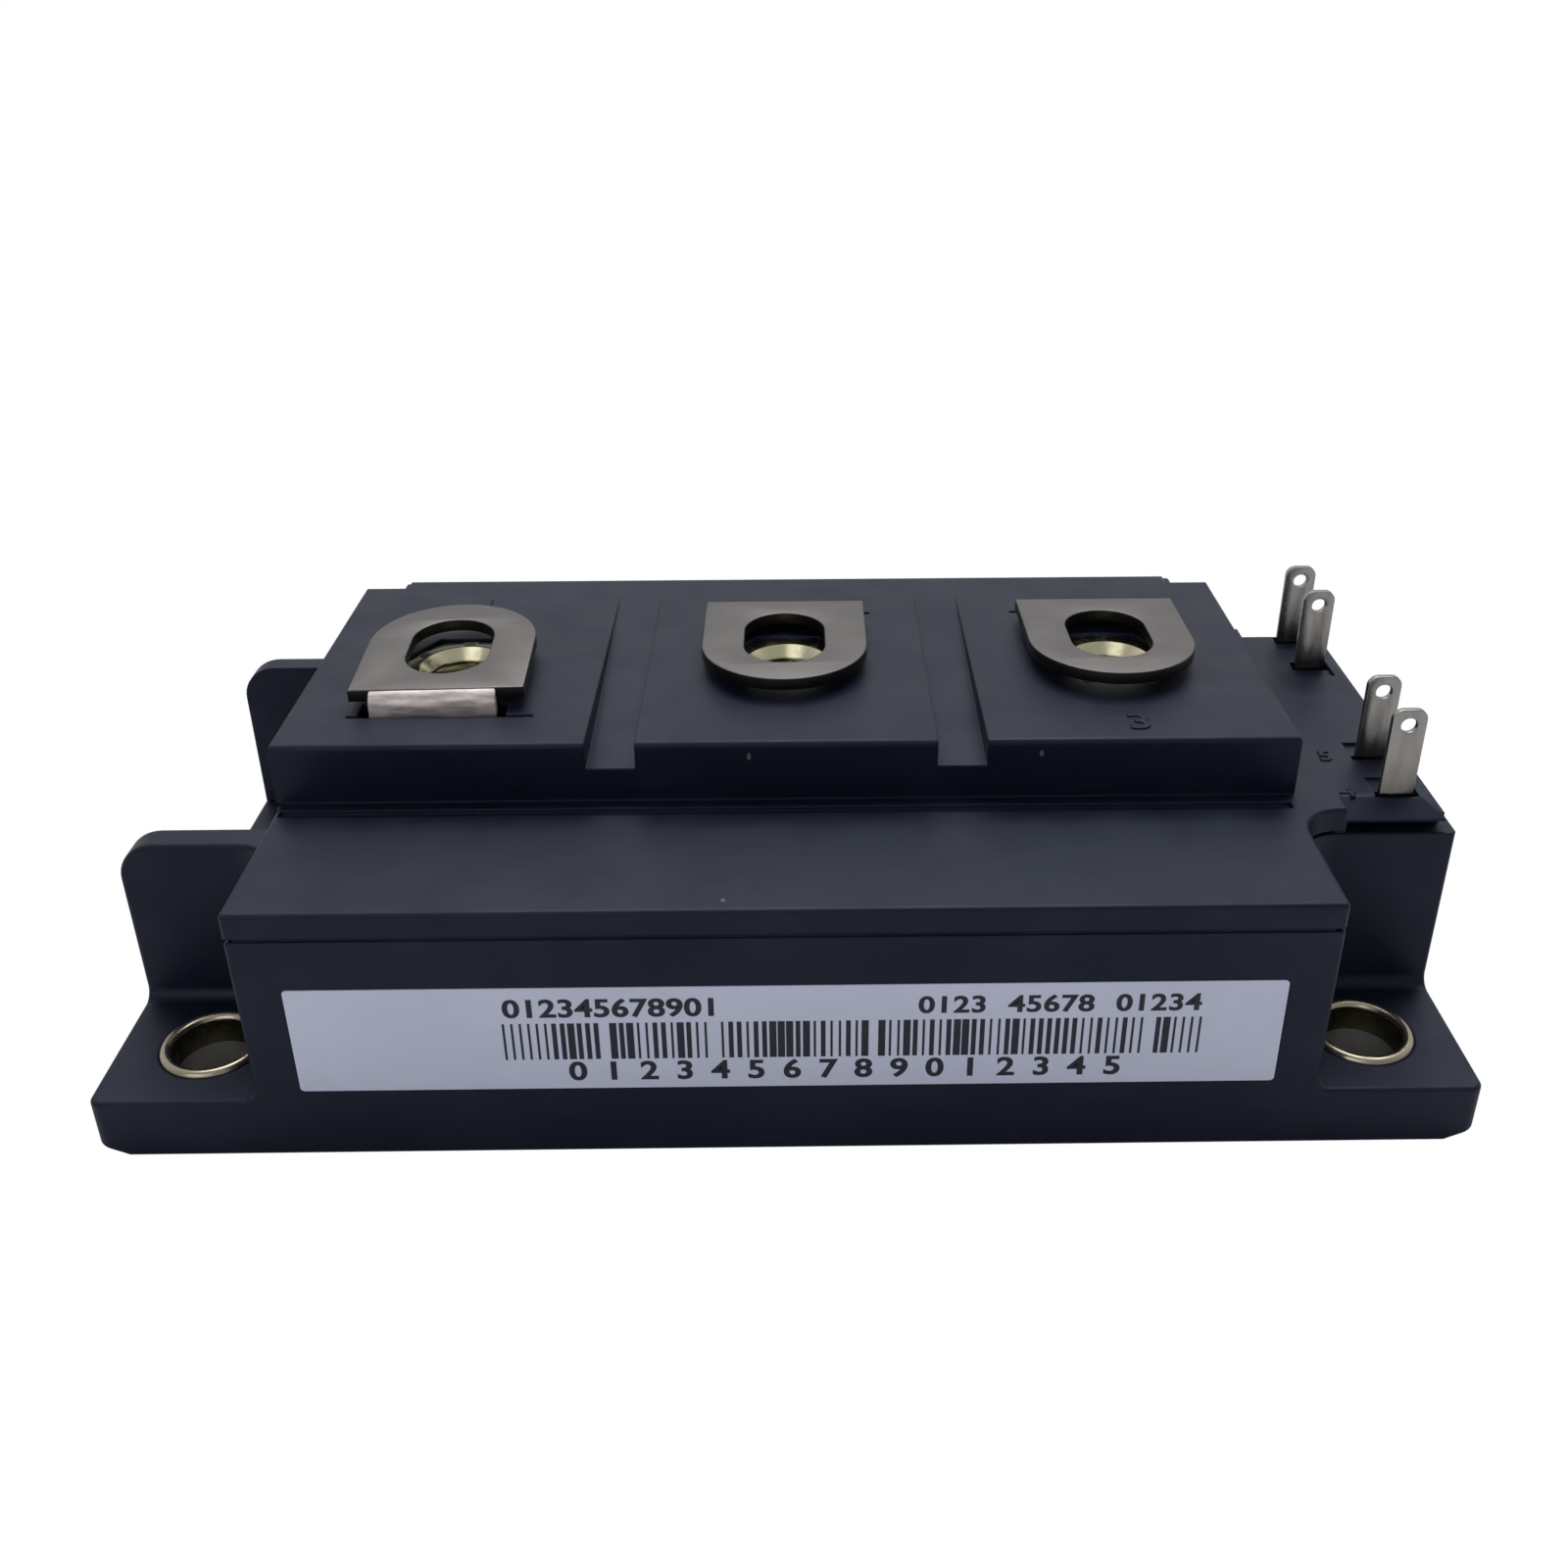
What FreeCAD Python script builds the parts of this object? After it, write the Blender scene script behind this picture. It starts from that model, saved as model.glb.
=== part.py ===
import FreeCAD, Part
import os

import Sketcher
from FreeCAD import Rotation, Vector

# Half-bridge power transistor module, 108 x 62 mm class, in millimetres.
# +X runs along the length towards the four flat tabs, -Y is the side with the label, +Z is up.
# The origin is the middle of the underside of the base plate.

DRIVING = [
    ("length", "108", "overall length over the flange"),
    ("width", "62", "overall width"),
    ("hole_from_end", "7.5", "mounting holes from the ends"),
    ("hole_from_side", "7", "mounting holes from the sides"),
    ("plate_thick", "3", "base plate thickness"),
    ("plate_inset", "2.6", "skirt of the frame round the base plate"),
    ("plate_corner", "3", "corner radius of the base plate"),
    ("plate_hole", "3.2", "radius of the mounting hole in the base plate"),
    ("fit_gap", "0.05", "gap round every piece that sits in another"),
    ("skirt_lift", "0.1", "underside of the frame above the base plate's underside"),
    ("flange_top", "5.2", "upper face of the flange"),
    ("bevel_long", "2.4", "bevel under the flange's ends, along the length"),
    ("bevel_high", "1.1", "height of that bevel"),
    ("flange_corner", "1", "corner radius of the flange, seen from above"),
    ("flange_edge", "0.35", "rounding of the flange's upper edge and the body's upright corners"),
    ("pocket_long", "13.125", "length of the screw pockets at each end of the raised body"),
    ("pocket_clear", "6.4", "faces of fins and block from the axis of a mounting hole"),
    ("pocket_corner", "3.4", "radius in the inner corner of a screw pocket"),
    ("pocket_foot", "1", "fillet between a pocket's walls and the flange"),
    ("fin_thick", "2.4", "thickness of the two fins"),
    ("fin_round", "3.2", "radius of a fin's upper outer corner"),
    ("frame_top", "20.1", "upper face of the frame, where the cover starts"),
    ("wall", "2.5", "wall of the frame"),
    ("block_wall", "1.8", "wall of the tab block"),
    ("seam", "0.35", "chamfer of the cover along its seam"),
    ("shelf_top", "22.5", "upper face of the cover's shelf"),
    ("block_top", "21.5", "upper face of the cover over the tab block"),
    ("block_inset", "0.9", "cover set back from the walls of the tab block"),
    ("shelf_past", "0.5", "shelf beyond the pocket corner towards the tabs"),
    ("rib_deep", "1.5", "locating rib under the cover"),
    ("rib_thick", "1.2", "thickness of the locating rib"),
    ("tower_past", "0.325", "ends of the tower beyond the raised body"),
    ("tower_front", "15.2", "front face of the tower from the centre line"),
    ("tower_rear", "17.4", "rear face of the tower from the centre line"),
    ("tower_top", "27.7", "upper face of the tower"),
    ("tower_edge", "0.45", "rounding of the tower's upper edges"),
    ("shelf_edge", "0.35", "rounding of the shelf's front and rear edges"),
    ("tower_roof", "2", "material left under the floor of a groove"),
    ("spine_long", "74.4", "length of the spine behind the tower"),
    ("spine_rear", "19", "rear face of the spine from the centre line"),
    ("spine_thick", "2.8", "thickness of the spine"),
    ("strip_wide", "1.1", "width of the raised strip at the tower's foot"),
    ("strip_high", "0.6", "height of the raised strip"),
    ("groove_inner", "12.1", "near wall of a groove from the middle"),
    ("groove_wide", "4", "width of a groove"),
    ("groove_deep", "2.25", "depth of a groove"),
    ("terminal_pitch", "28.5", "screw terminals, centre to centre"),
    ("sheet", "1.1", "sheet thickness of the screw terminals"),
    ("terminal_gap", "0.8", "screw terminals above the tower"),
    ("terminal_wide", "14.4", "width of a screw terminal"),
    ("terminal_shift", "0.4", "middle of a terminal off the centre line, towards its bend"),
    ("terminal_tip", "8", "middle to the round end"),
    ("terminal_heel", "8.4", "middle to the straight end"),
    ("strap_wide", "10.8", "width of the strap that is bent down"),
    ("strap_out", "9.7", "outer face of the strap from the centre line"),
    ("bend_inner", "0.6", "inner bend radius of the strap"),
    ("relief", "0.6", "width of the relief notch beside the strap"),
    ("slot_wide", "15.3", "slot in the tower for a strap, along the length"),
    ("slot_gap", "0.7", "slot beyond each face of the strap"),
    ("eye_wide", "7.05", "oblong hole of a terminal, along the length"),
    ("eye_long", "10.3", "oblong hole of a terminal, across"),
    ("eye_shift", "0.85", "oblong hole off the centre line, towards the bend"),
    ("left_shift", "-0.33", "left terminal off its nut, along the length"),
    ("left_turn", "2", "left terminal turned in its slot, in degrees"),
    ("middle_shift", "-0.2", "middle terminal off its nut, along the length"),
    ("foot_long", "4.8", "solder foot of a screw terminal"),
    ("foot_thick", "1.1", "thickness of that foot"),
    ("foot_inset", "1.1", "foot of the left terminal narrower on each side than its strap"),
    ("foot_narrow", "3.4", "width of the middle terminal's foot"),
    ("foot_broad", "7.9", "width of the right terminal's foot"),
    ("nut_flats", "10", "nut across flats"),
    ("nut_thick", "5", "nut thickness"),
    ("nut_bore", "2.5", "radius of the nut's bore before the thread"),
    ("nut_chamfer", "0.6", "chamfer of the nut's bore"),
    ("nut_sunk", "0.6", "top of the nut below the tower's face"),
    ("screw_room", "4", "blind bore under the nut for a screw's end"),
    ("screw_bore", "3.3", "radius of that bore"),
    ("boss_wall", "1.6", "wall round a nut"),
    ("tab_from_end", "4.5", "flat tabs from the end of the tab block"),
    ("tab_pitch", "6", "distance between the two tabs of a pair"),
    ("tab_from_face", "2.6", "outer tab of a pair from the side of the tab block"),
    ("tab_wide", "2.8", "width of a flat tab"),
    ("tab_thick", "0.5", "thickness of a flat tab"),
    ("tab_top", "30.1", "top of the flat tabs"),
    ("tab_corner", "0.9", "corner radius of a flat tab"),
    ("tab_eye", "0.65", "radius of the hole in a flat tab"),
    ("tab_eye_drop", "1.4", "hole below the top of a flat tab"),
    ("tab_slot_gap", "0.35", "slot in the cover round a flat tab"),
    ("lead_low", "11", "underside of the leads inside"),
    ("lead_high", "13", "upper edge of the leads inside"),
    ("lead_leg", "1.6", "width of a lead's leg"),
    ("lead_foot", "2", "solder foot of a lead"),
    ("bush_outer", "4.15", "outer radius of a mounting bush"),
    ("bush_inner", "3.35", "inner radius of a mounting bush"),
    ("bush_proud", "0.1", "bush above the flange"),
    ("bush_bevel", "0.2", "bevel of the bush's rim"),
    ("label_long", "74.6", "label, along the length"),
    ("label_high", "9.5", "label height"),
    ("label_low", "6.35", "lower edge of the label"),
    ("label_thick", "0.12", "label thickness"),
    ("label_corner", "0.9", "corner radius of the label"),
    ("solder", "0.2", "solder under a substrate"),
    ("copper", "0.3", "copper on each side of a substrate"),
    ("ceramic", "0.6", "ceramic of a substrate"),
    ("ceramic_long", "36.4", "substrate, along the length"),
    ("ceramic_wide", "44", "substrate, across"),
    ("ceramic_gap", "1.6", "gap between the two substrates"),
    ("copper_inset", "1", "copper set back from the ceramic's edge"),
    ("track_gap", "0.8", "gap between two tracks"),
    ("edge_track", "2", "width of the gate tracks at a substrate's end"),
    ("gate_near", "2", "gate track starts this far from the centre line"),
    ("gate_far", "12", "gate track ends this far from the centre line"),
    ("sense_far", "17", "sense track ends this far from the centre line"),
    ("chip_side", "12", "transistor chip"),
    ("chip_thick", "0.35", "transistor and diode chip thickness"),
    ("chip_pitch", "17.4", "transistor chips, centre to centre"),
    ("chip_back", "1.6", "chip pairs off the middle of a substrate"),
    ("chip_middle", "0.5", "middle of the transistor chips from the centre line"),
    ("diode_side", "9", "diode chip"),
    ("diode_gap", "1", "gap between transistor and diode chip"),
    ("wire", "0.2", "radius of a bond wire"),
    ("wire_pitch", "4", "bond wires, centre to centre"),
    ("stitch_in", "1.5", "bond wire's foot from a chip's edge"),
    ("link_wide", "2.8", "width of the link between the substrates"),
    ("link_thick", "0.8", "thickness of the link"),
    ("link_high", "3", "height of the link over the tracks"),
    ("link_foot", "2.2", "solder foot of the link"),
    ("link_in", "0.4", "link from the end of the tracks"),
    ("gel_top", "15", "surface of the soft filling"),
    ("gel_room", "0.5", "room round the bond wires"),
]

# Sizes and places that follow from the driving ones
DERIVED = [
    ("half_long", "=sizes.length / 2"),
    ("pocket_face", "=sizes.width / 2 - sizes.hole_from_side - sizes.pocket_clear"),
    ("tab_far", "=pocket_face - sizes.tab_from_face"),
    ("tab_near", "=pocket_face - sizes.tab_from_face - sizes.tab_pitch"),
    ("tab_x", "=sizes.length / 2 - sizes.tab_from_end"),
    ("tower_end", "=sizes.length / 2 - sizes.pocket_long + sizes.tower_past"),
    ("terminal_top", "=sizes.tower_top + sizes.terminal_gap + sizes.sheet"),
    ("half_wide", "=sizes.width / 2"),
    ("body_end", "=sizes.length / 2 - sizes.pocket_long"),
    ("shelf_end", "=body_end + sizes.pocket_corner + sizes.shelf_past"),
    ("plate_half_long", "=sizes.length / 2 - sizes.plate_inset"),
    ("plate_half_wide", "=sizes.width / 2 - sizes.plate_inset"),
    ("hole_x", "=sizes.length / 2 - sizes.hole_from_end"),
    ("hole_y", "=sizes.width / 2 - sizes.hole_from_side"),
    ("room_end", "=body_end - sizes.wall"),
    ("room_side", "=sizes.width / 2 - sizes.wall"),
    ("block_room_end", "=sizes.length / 2 - sizes.block_wall"),
    ("block_room_side", "=pocket_face - sizes.block_wall"),
    ("lid_end", "=sizes.length / 2 - sizes.block_inset"),
    ("lid_side", "=pocket_face - sizes.block_inset"),
    ("fin_inner", "=pocket_face - sizes.fin_thick"),
    ("groove_outer", "=sizes.groove_inner + sizes.groove_wide"),
    ("groove_rear", "=sizes.spine_rear - sizes.spine_thick"),
    ("ceiling", "=sizes.tower_top - sizes.groove_deep - sizes.tower_roof"),
    ("nut_top", "=sizes.tower_top - sizes.nut_sunk"),
    ("nut_floor", "=sizes.tower_top - sizes.nut_sunk - sizes.nut_thick"),
    ("boss_floor", "=sizes.tower_top - sizes.nut_sunk - sizes.nut_thick - sizes.screw_room - sizes.boss_wall"),
    ("nut_radius", "=sizes.nut_flats / 2 / cos(30 deg)"),
    ("boss_radius", "=sizes.nut_flats / 2 / cos(30 deg) + sizes.boss_wall"),
    ("sheet_under", "=sizes.tower_top + sizes.terminal_gap"),
    ("strap_in", "=sizes.strap_out - sizes.sheet"),
    ("bend_start", "=sizes.strap_out - sizes.sheet - sizes.bend_inner"),
    ("heel", "=sizes.terminal_heel + sizes.terminal_shift"),
    ("round_centre", "=sizes.terminal_tip - sizes.terminal_shift - sizes.terminal_wide / 2"),
    ("solder_top", "=sizes.plate_thick + sizes.solder"),
    ("lower_copper_top", "=sizes.plate_thick + sizes.solder + sizes.copper"),
    ("ceramic_top", "=sizes.plate_thick + sizes.solder + sizes.copper + sizes.ceramic"),
    ("track_top", "=sizes.plate_thick + sizes.solder + 2 * sizes.copper + sizes.ceramic"),
    ("chip_top", "=sizes.plate_thick + sizes.solder + 2 * sizes.copper + sizes.ceramic + sizes.chip_thick"),
    ("ceramic_x", "=(sizes.ceramic_long + sizes.ceramic_gap) / 2"),
    ("track_half_long", "=sizes.ceramic_long / 2 - sizes.copper_inset"),
    ("track_half_wide", "=sizes.ceramic_wide / 2 - sizes.copper_inset"),
    ("edge_track_start", "=sizes.ceramic_long / 2 - sizes.copper_inset - sizes.edge_track"),
    ("edge_track_middle", "=sizes.ceramic_long / 2 - sizes.copper_inset - sizes.edge_track / 2"),
    ("track_end", "=sizes.ceramic_long / 2 - sizes.copper_inset - sizes.edge_track - sizes.track_gap"),
    ("chip_far", "=sizes.chip_middle + sizes.chip_side / 2"),
    ("diode_near", "=sizes.chip_middle + sizes.chip_side / 2 + sizes.diode_gap"),
    ("diode_far", "=sizes.chip_middle + sizes.chip_side / 2 + sizes.diode_gap + sizes.diode_side"),
]

NEAR = 0.001

doc = FreeCAD.newDocument("power_module")


def fill_sheet(name, rows):
    """A spreadsheet with one aliased cell for each row."""
    table = doc.addObject("Spreadsheet::Sheet", name)
    for number, row in enumerate(rows, start=1):
        table.set(f"A{number}", row[1])
        table.setAlias(f"A{number}", row[0])
        if len(row) > 2:
            table.set(f"B{number}", row[2])
    doc.recompute()
    return table


fill_sheet("sizes", DRIVING)
places = fill_sheet("places", DERIVED)


def amount(formula):
    """The number that a formula of sheet aliases gives."""
    result = places.evalExpression(formula)
    return float(getattr(result, "Value", result))


# Sketches and features of a body


def new_body(name):
    body = doc.addObject("PartDesign::Body", name)
    body.Label = name
    return body


def new_sketch(body, name, role, lift):
    """A sketch on one of the body's own planes, lifted along the plane's normal."""
    sketch = body.newObject("Sketcher::SketchObject", name)
    plane = next(item for item in body.Origin.OriginFeatures if item.Role == role)
    sketch.AttachmentSupport = [(plane, "")]
    sketch.MapMode = "FlatFace"
    sketch.setExpression("AttachmentOffset.Base.z", lift)
    return sketch


def pin_point(sketch, geometry, end, x, y):
    """Holds a point of a sketch at the place that two formulas give."""
    for kind, axis, formula in (("DistanceX", -2, x), ("DistanceY", -1, y)):
        if formula == "0":
            sketch.addConstraint(Sketcher.Constraint("PointOnObject", geometry, end, axis))
            continue
        rule = Sketcher.Constraint(kind, -1, 1, geometry, end, amount(formula))
        index = sketch.addConstraint(rule)
        sketch.setExpression(f"Constraints[{index}]", formula)


def outline(sketch, corners):
    """A closed outline of straight lines through corners given as pairs of formulas."""
    first = sketch.GeometryCount
    points = [Vector(amount(x), amount(y), 0) for x, y in corners]
    count = len(points)
    for number in range(count):
        sketch.addGeometry(Part.LineSegment(points[number], points[(number + 1) % count]))
    for number, (x, y) in enumerate(corners):
        after = first + (number - 1) % count
        sketch.addConstraint(Sketcher.Constraint("Coincident", after, 2, first + number, 1))
        pin_point(sketch, first + number, 1, x, y)


def rectangle(sketch, x0, y0, x1, y1):
    outline(sketch, [(x0, y0), (x1, y0), (x1, y1), (x0, y1)])


def circle(sketch, x, y, radius):
    """A circle about the point that two formulas give."""
    centre = Vector(amount(x), amount(y), 0)
    index = sketch.addGeometry(Part.Circle(centre, Vector(0, 0, 1), amount(radius)))
    pin_point(sketch, index, 3, x, y)
    rule = sketch.addConstraint(Sketcher.Constraint("Radius", index, amount(radius)))
    sketch.setExpression(f"Constraints[{rule}]", radius)


def pad(body, sketch, length):
    """Adds a sketch's area over a length along the sketch's normal."""
    feature = body.newObject("PartDesign::Pad", sketch.Name + "_pad")
    feature.Profile = sketch
    feature.setExpression("Length", length)
    doc.recompute()
    return feature


def pocket(body, sketch, depth):
    """Cuts a sketch's area over a depth against the sketch's normal."""
    before = body.Shape.Volume
    feature = body.newObject("PartDesign::Pocket", sketch.Name + "_cut")
    feature.Profile = sketch
    feature.setExpression("Length", depth)
    doc.recompute()
    if not body.Shape.Volume < before - NEAR:
        raise RuntimeError(f"{feature.Name} cuts nothing")
    return feature


def edge_names(body, axis=None, **where):
    """Edges of a body at given coordinates; axis keeps only the straight ones along it."""
    names = []
    for number, edge in enumerate(body.Tip.Shape.Edges, start=1):
        box = edge.BoundBox
        span = {"x": (box.XMin, box.XMax), "y": (box.YMin, box.YMax), "z": (box.ZMin, box.ZMax)}
        if axis and any(high - low > NEAR for key, (low, high) in span.items() if key != axis):
            continue
        if all(any(max(abs(low - at), abs(high - at)) < NEAR * 10 for at in spots)
               for (low, high), spots in ((span[key], spots) for key, spots in where.items())):
            names.append(f"Edge{number}")
    return names


def soften(body, kind, name, size, names):
    """A fillet or a chamfer on named edges of a body."""
    if not names:
        raise RuntimeError(f"{name} has no edges")
    base = body.Tip
    feature = body.newObject("PartDesign::" + kind, name)
    feature.Base = (base, names)
    feature.setExpression("Radius" if kind == "Fillet" else "Size", size)
    doc.recompute()
    if "Invalid" in feature.State:
        raise RuntimeError(f"{name}: {feature.getStatusString()}")
    return feature


def both(formula):
    """A coordinate on either side of the middle."""
    value = amount(formula)
    return (-value, value)


def box(name, x, y, z):
    """A block between pairs of formulas, its lower and its upper side on each axis."""
    block = doc.addObject("Part::Box", name)
    block.Label = name
    for key, side, (low, high) in (("x", "Length", x), ("y", "Width", y), ("z", "Height", z)):
        block.setExpression(side, f"({high}) - ({low})")
        block.setExpression(f"Placement.Base.{key}", low)
    return block


# Base plate, frame, bushes and cover


def base_plate():
    body = new_body("base_plate")
    plan = new_sketch(body, "plate_plan", "XY_Plane", "0")
    rectangle(plan, "-places.plate_half_long", "-places.plate_half_wide",
              "places.plate_half_long", "places.plate_half_wide")
    pad(body, plan, "sizes.plate_thick")
    holes = new_sketch(body, "plate_holes", "XY_Plane", "sizes.plate_thick")
    four_holes(holes, "sizes.plate_hole")
    pocket(body, holes, "sizes.plate_thick")
    corners = edge_names(body, "z", x=both("places.plate_half_long"), y=both("places.plate_half_wide"))
    soften(body, "Fillet", "plate_corners", "sizes.plate_corner", corners)
    return body


def four_holes(sketch, radius):
    for x in ("-places.hole_x", "places.hole_x"):
        for y in ("-places.hole_y", "places.hole_y"):
            circle(sketch, x, y, radius)


def room_outline(sketch, gap):
    """Plan of the room inside the frame and the tab block, smaller by a gap."""
    end = f"(places.room_end - {gap})"
    side = f"(places.room_side - {gap})"
    far = f"(places.block_room_end - {gap})"
    near = f"(places.block_room_side - {gap})"
    outline(sketch, [(f"-{end}", f"-{side}"), (end, f"-{side}"), (end, f"-{near}"), (far, f"-{near}"),
                     (far, near), (end, near), (end, side), (f"-{end}", side)])


def raised_outline(sketch, block_end):
    """Plan of the raised body with the tab block up to a given end."""
    outline(sketch, [("-places.body_end", "-places.half_wide"), ("places.body_end", "-places.half_wide"),
                     ("places.body_end", "-places.pocket_face"), (block_end, "-places.pocket_face"),
                     (block_end, "places.pocket_face"), ("places.body_end", "places.pocket_face"),
                     ("places.body_end", "places.half_wide"), ("-places.body_end", "places.half_wide")])


def frame_walls(body):
    """Flange, raised body with the tab block, and the two fins at the other end."""
    flange = new_sketch(body, "flange_plan", "XY_Plane", "sizes.skirt_lift")
    rectangle(flange, "-places.half_long", "-places.half_wide", "places.half_long", "places.half_wide")
    pad(body, flange, "sizes.flange_top - sizes.skirt_lift")
    raised = new_sketch(body, "raised_plan", "XY_Plane", "sizes.skirt_lift")
    raised_outline(raised, "places.half_long")
    pad(body, raised, "sizes.frame_top - sizes.skirt_lift")
    fins = new_sketch(body, "fin_plan", "XY_Plane", "sizes.skirt_lift")
    root = "-places.body_end + sizes.wall / 2"
    rectangle(fins, "-places.half_long", "-places.pocket_face", root, "-places.fin_inner")
    rectangle(fins, "-places.half_long", "places.fin_inner", root, "places.pocket_face")
    pad(body, fins, "sizes.frame_top - sizes.skirt_lift")


def frame_roundings(body):
    """Fin corners, inner corners of the screw pockets, their feet and the flange's edge."""
    ends = both("places.body_end")
    sides = both("places.half_wide")
    outer = both("places.half_long")
    step = [amount("sizes.flange_top")]
    fin_tops = edge_names(body, "y", x=outer[:1], z=[amount("sizes.frame_top")])
    soften(body, "Fillet", "fin_rounds", "sizes.fin_round", fin_tops)
    corners = edge_names(body, "z", x=ends, y=both("places.pocket_face"))
    soften(body, "Fillet", "pocket_corners", "sizes.pocket_corner", corners)
    soften(body, "Fillet", "pocket_feet", "sizes.pocket_foot", edge_names(body, "y", x=ends, z=step))
    soften(body, "Fillet", "flange_corners", "sizes.flange_corner", edge_names(body, "z", x=outer, y=sides))
    rim = edge_names(body, "x", y=sides, z=step) + edge_names(body, "y", x=outer, z=step)
    soften(body, "Fillet", "flange_rim", "sizes.flange_edge", rim)
    bevel_flange(body)


def bevel_flange(body):
    """A flat bevel under both ends of the flange."""
    ends = new_sketch(body, "flange_bevels", "XZ_Plane", "places.half_wide")
    low = "sizes.skirt_lift"
    for sign in ("-", ""):
        outline(ends, [(f"{sign}places.half_long", low), (f"{sign}places.half_long", f"{low} + sizes.bevel_high"),
                       (f"{sign}(places.half_long - sizes.bevel_long)", low)])
    pocket(body, ends, "sizes.width")


def case_frame():
    """The moulded frame: one piece with flange, walls, fins and tab block."""
    body = new_body("case_frame")
    frame_walls(body)
    frame_roundings(body)
    room = new_sketch(body, "room_plan", "XY_Plane", "sizes.frame_top")
    room_outline(room, "0")
    pocket(body, room, "sizes.frame_top")
    seat = new_sketch(body, "seat_plan", "XY_Plane", "sizes.plate_thick")
    long_side = "(places.plate_half_long + sizes.fit_gap)"
    short_side = "(places.plate_half_wide + sizes.fit_gap)"
    rectangle(seat, f"-{long_side}", f"-{short_side}", long_side, short_side)
    pocket(body, seat, "sizes.plate_thick")
    corners = edge_names(body, "z", x=both(long_side), y=both(short_side))
    soften(body, "Fillet", "seat_corners", "sizes.plate_corner + sizes.fit_gap", corners)
    holes = new_sketch(body, "bush_holes", "XY_Plane", "sizes.flange_top")
    four_holes(holes, "sizes.bush_outer + sizes.fit_gap")
    pocket(body, holes, "sizes.flange_top - sizes.plate_thick")
    return body


def mounting_bush(name, x, y):
    """A turned ring that stands on the base plate and lines the flange's hole."""
    body = new_body(name)
    section = new_sketch(body, name + "_section", "XZ_Plane", "0")
    rim = "(sizes.flange_top + sizes.bush_proud)"
    outline(section, [("sizes.bush_inner", "sizes.plate_thick"), ("sizes.bush_outer", "sizes.plate_thick"),
                      ("sizes.bush_outer", f"{rim} - sizes.bush_bevel"),
                      ("sizes.bush_outer - sizes.bush_bevel", rim),
                      ("sizes.bush_inner + sizes.bush_bevel", rim),
                      ("sizes.bush_inner", f"{rim} - sizes.bush_bevel")])
    ring = body.newObject("PartDesign::Revolution", name + "_ring")
    ring.Profile = section
    ring.ReferenceAxis = (section, ["V_Axis"])
    ring.Angle = 360
    body.setExpression("Placement.Base.x", x)
    body.setExpression("Placement.Base.y", y)
    return body


def cover_shell(body):
    """Shelf, lid over the tab block, tower with its spine, and the strip at the tower's foot."""
    shelf = new_sketch(body, "shelf_plan", "XY_Plane", "sizes.frame_top")
    raised_outline(shelf, "places.shelf_end")
    pad(body, shelf, "sizes.shelf_top - sizes.frame_top")
    corners = edge_names(body, "z", x=[amount("places.body_end")], y=both("places.pocket_face"))
    soften(body, "Fillet", "cover_corners", "sizes.pocket_corner", corners)
    lid = new_sketch(body, "lid_plan", "XY_Plane", "sizes.frame_top")
    rectangle(lid, "places.body_end", "-places.lid_side", "places.lid_end", "places.lid_side")
    pad(body, lid, "sizes.block_top - sizes.frame_top")
    tower = new_sketch(body, "tower_plan", "XY_Plane", "sizes.shelf_top")
    rectangle(tower, "-places.tower_end", "-sizes.tower_front", "places.tower_end", "sizes.tower_rear")
    pad(body, tower, "sizes.tower_top - sizes.shelf_top")
    spine = new_sketch(body, "spine_plan", "XY_Plane", "sizes.frame_top")
    rectangle(spine, "-sizes.spine_long / 2", "sizes.tower_rear - sizes.wall", "sizes.spine_long / 2",
              "sizes.spine_rear")
    pad(body, spine, "sizes.tower_top - sizes.frame_top")
    strip = new_sketch(body, "strip_plan", "XY_Plane", "sizes.frame_top")
    rectangle(strip, "-places.body_end", "-sizes.tower_front - sizes.strip_wide", "places.body_end",
              "-sizes.tower_front + sizes.wall / 2")
    pad(body, strip, "sizes.shelf_top + sizes.strip_high - sizes.frame_top")


def cover_roundings(body):
    """Upper edges of the tower and the shelf, and the cover's side of the seam."""
    soften(body, "Fillet", "tower_edges", "sizes.tower_edge", edge_names(body, z=[amount("sizes.tower_top")]))
    sides = both("places.half_wide")
    soften(body, "Fillet", "cover_uprights", "sizes.flange_edge",
           edge_names(body, "z", x=both("places.body_end"), y=sides))
    soften(body, "Fillet", "shelf_edges", "sizes.shelf_edge",
           edge_names(body, "x", y=sides, z=[amount("sizes.shelf_top")]))
    soften(body, "Chamfer", "cover_seam", "sizes.seam",
           edge_names(body, "x", y=sides, z=[amount("sizes.frame_top")]))


def hexagon(sketch, x, radius):
    """A regular hexagon with two corners on the sketch's X direction."""
    corners = []
    for number in range(6):
        turn = 60 * number
        along = f"{x} + ({radius}) * cos({turn} deg)"
        across = "0" if turn % 180 == 0 else f"({radius}) * sin({turn} deg)"
        corners.append((along, across))
    outline(sketch, corners)


TERMINALS = [("left", "-sizes.terminal_pitch", -1), ("middle", "0", 1), ("right", "sizes.terminal_pitch", 1)]


def nut_seats(body):
    """Bosses that hang from the tower's roof, each with a hexagonal pocket and room for a screw's end."""
    bosses = new_sketch(body, "boss_plan", "XY_Plane", "places.boss_floor")
    for _, x, _ in TERMINALS:
        circle(bosses, x, "0", "places.boss_radius")
    pad(body, bosses, "places.ceiling - places.boss_floor + sizes.tower_roof / 2")
    seats = new_sketch(body, "nut_plan", "XY_Plane", "sizes.tower_top")
    for _, x, _ in TERMINALS:
        hexagon(seats, x, "places.nut_radius + sizes.fit_gap")
    pocket(body, seats, "sizes.tower_top - places.nut_floor")
    bores = new_sketch(body, "screw_plan", "XY_Plane", "places.nut_floor")
    for _, x, _ in TERMINALS:
        circle(bores, x, "0", "sizes.screw_bore")
    pocket(body, bores, "sizes.screw_room")


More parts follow.
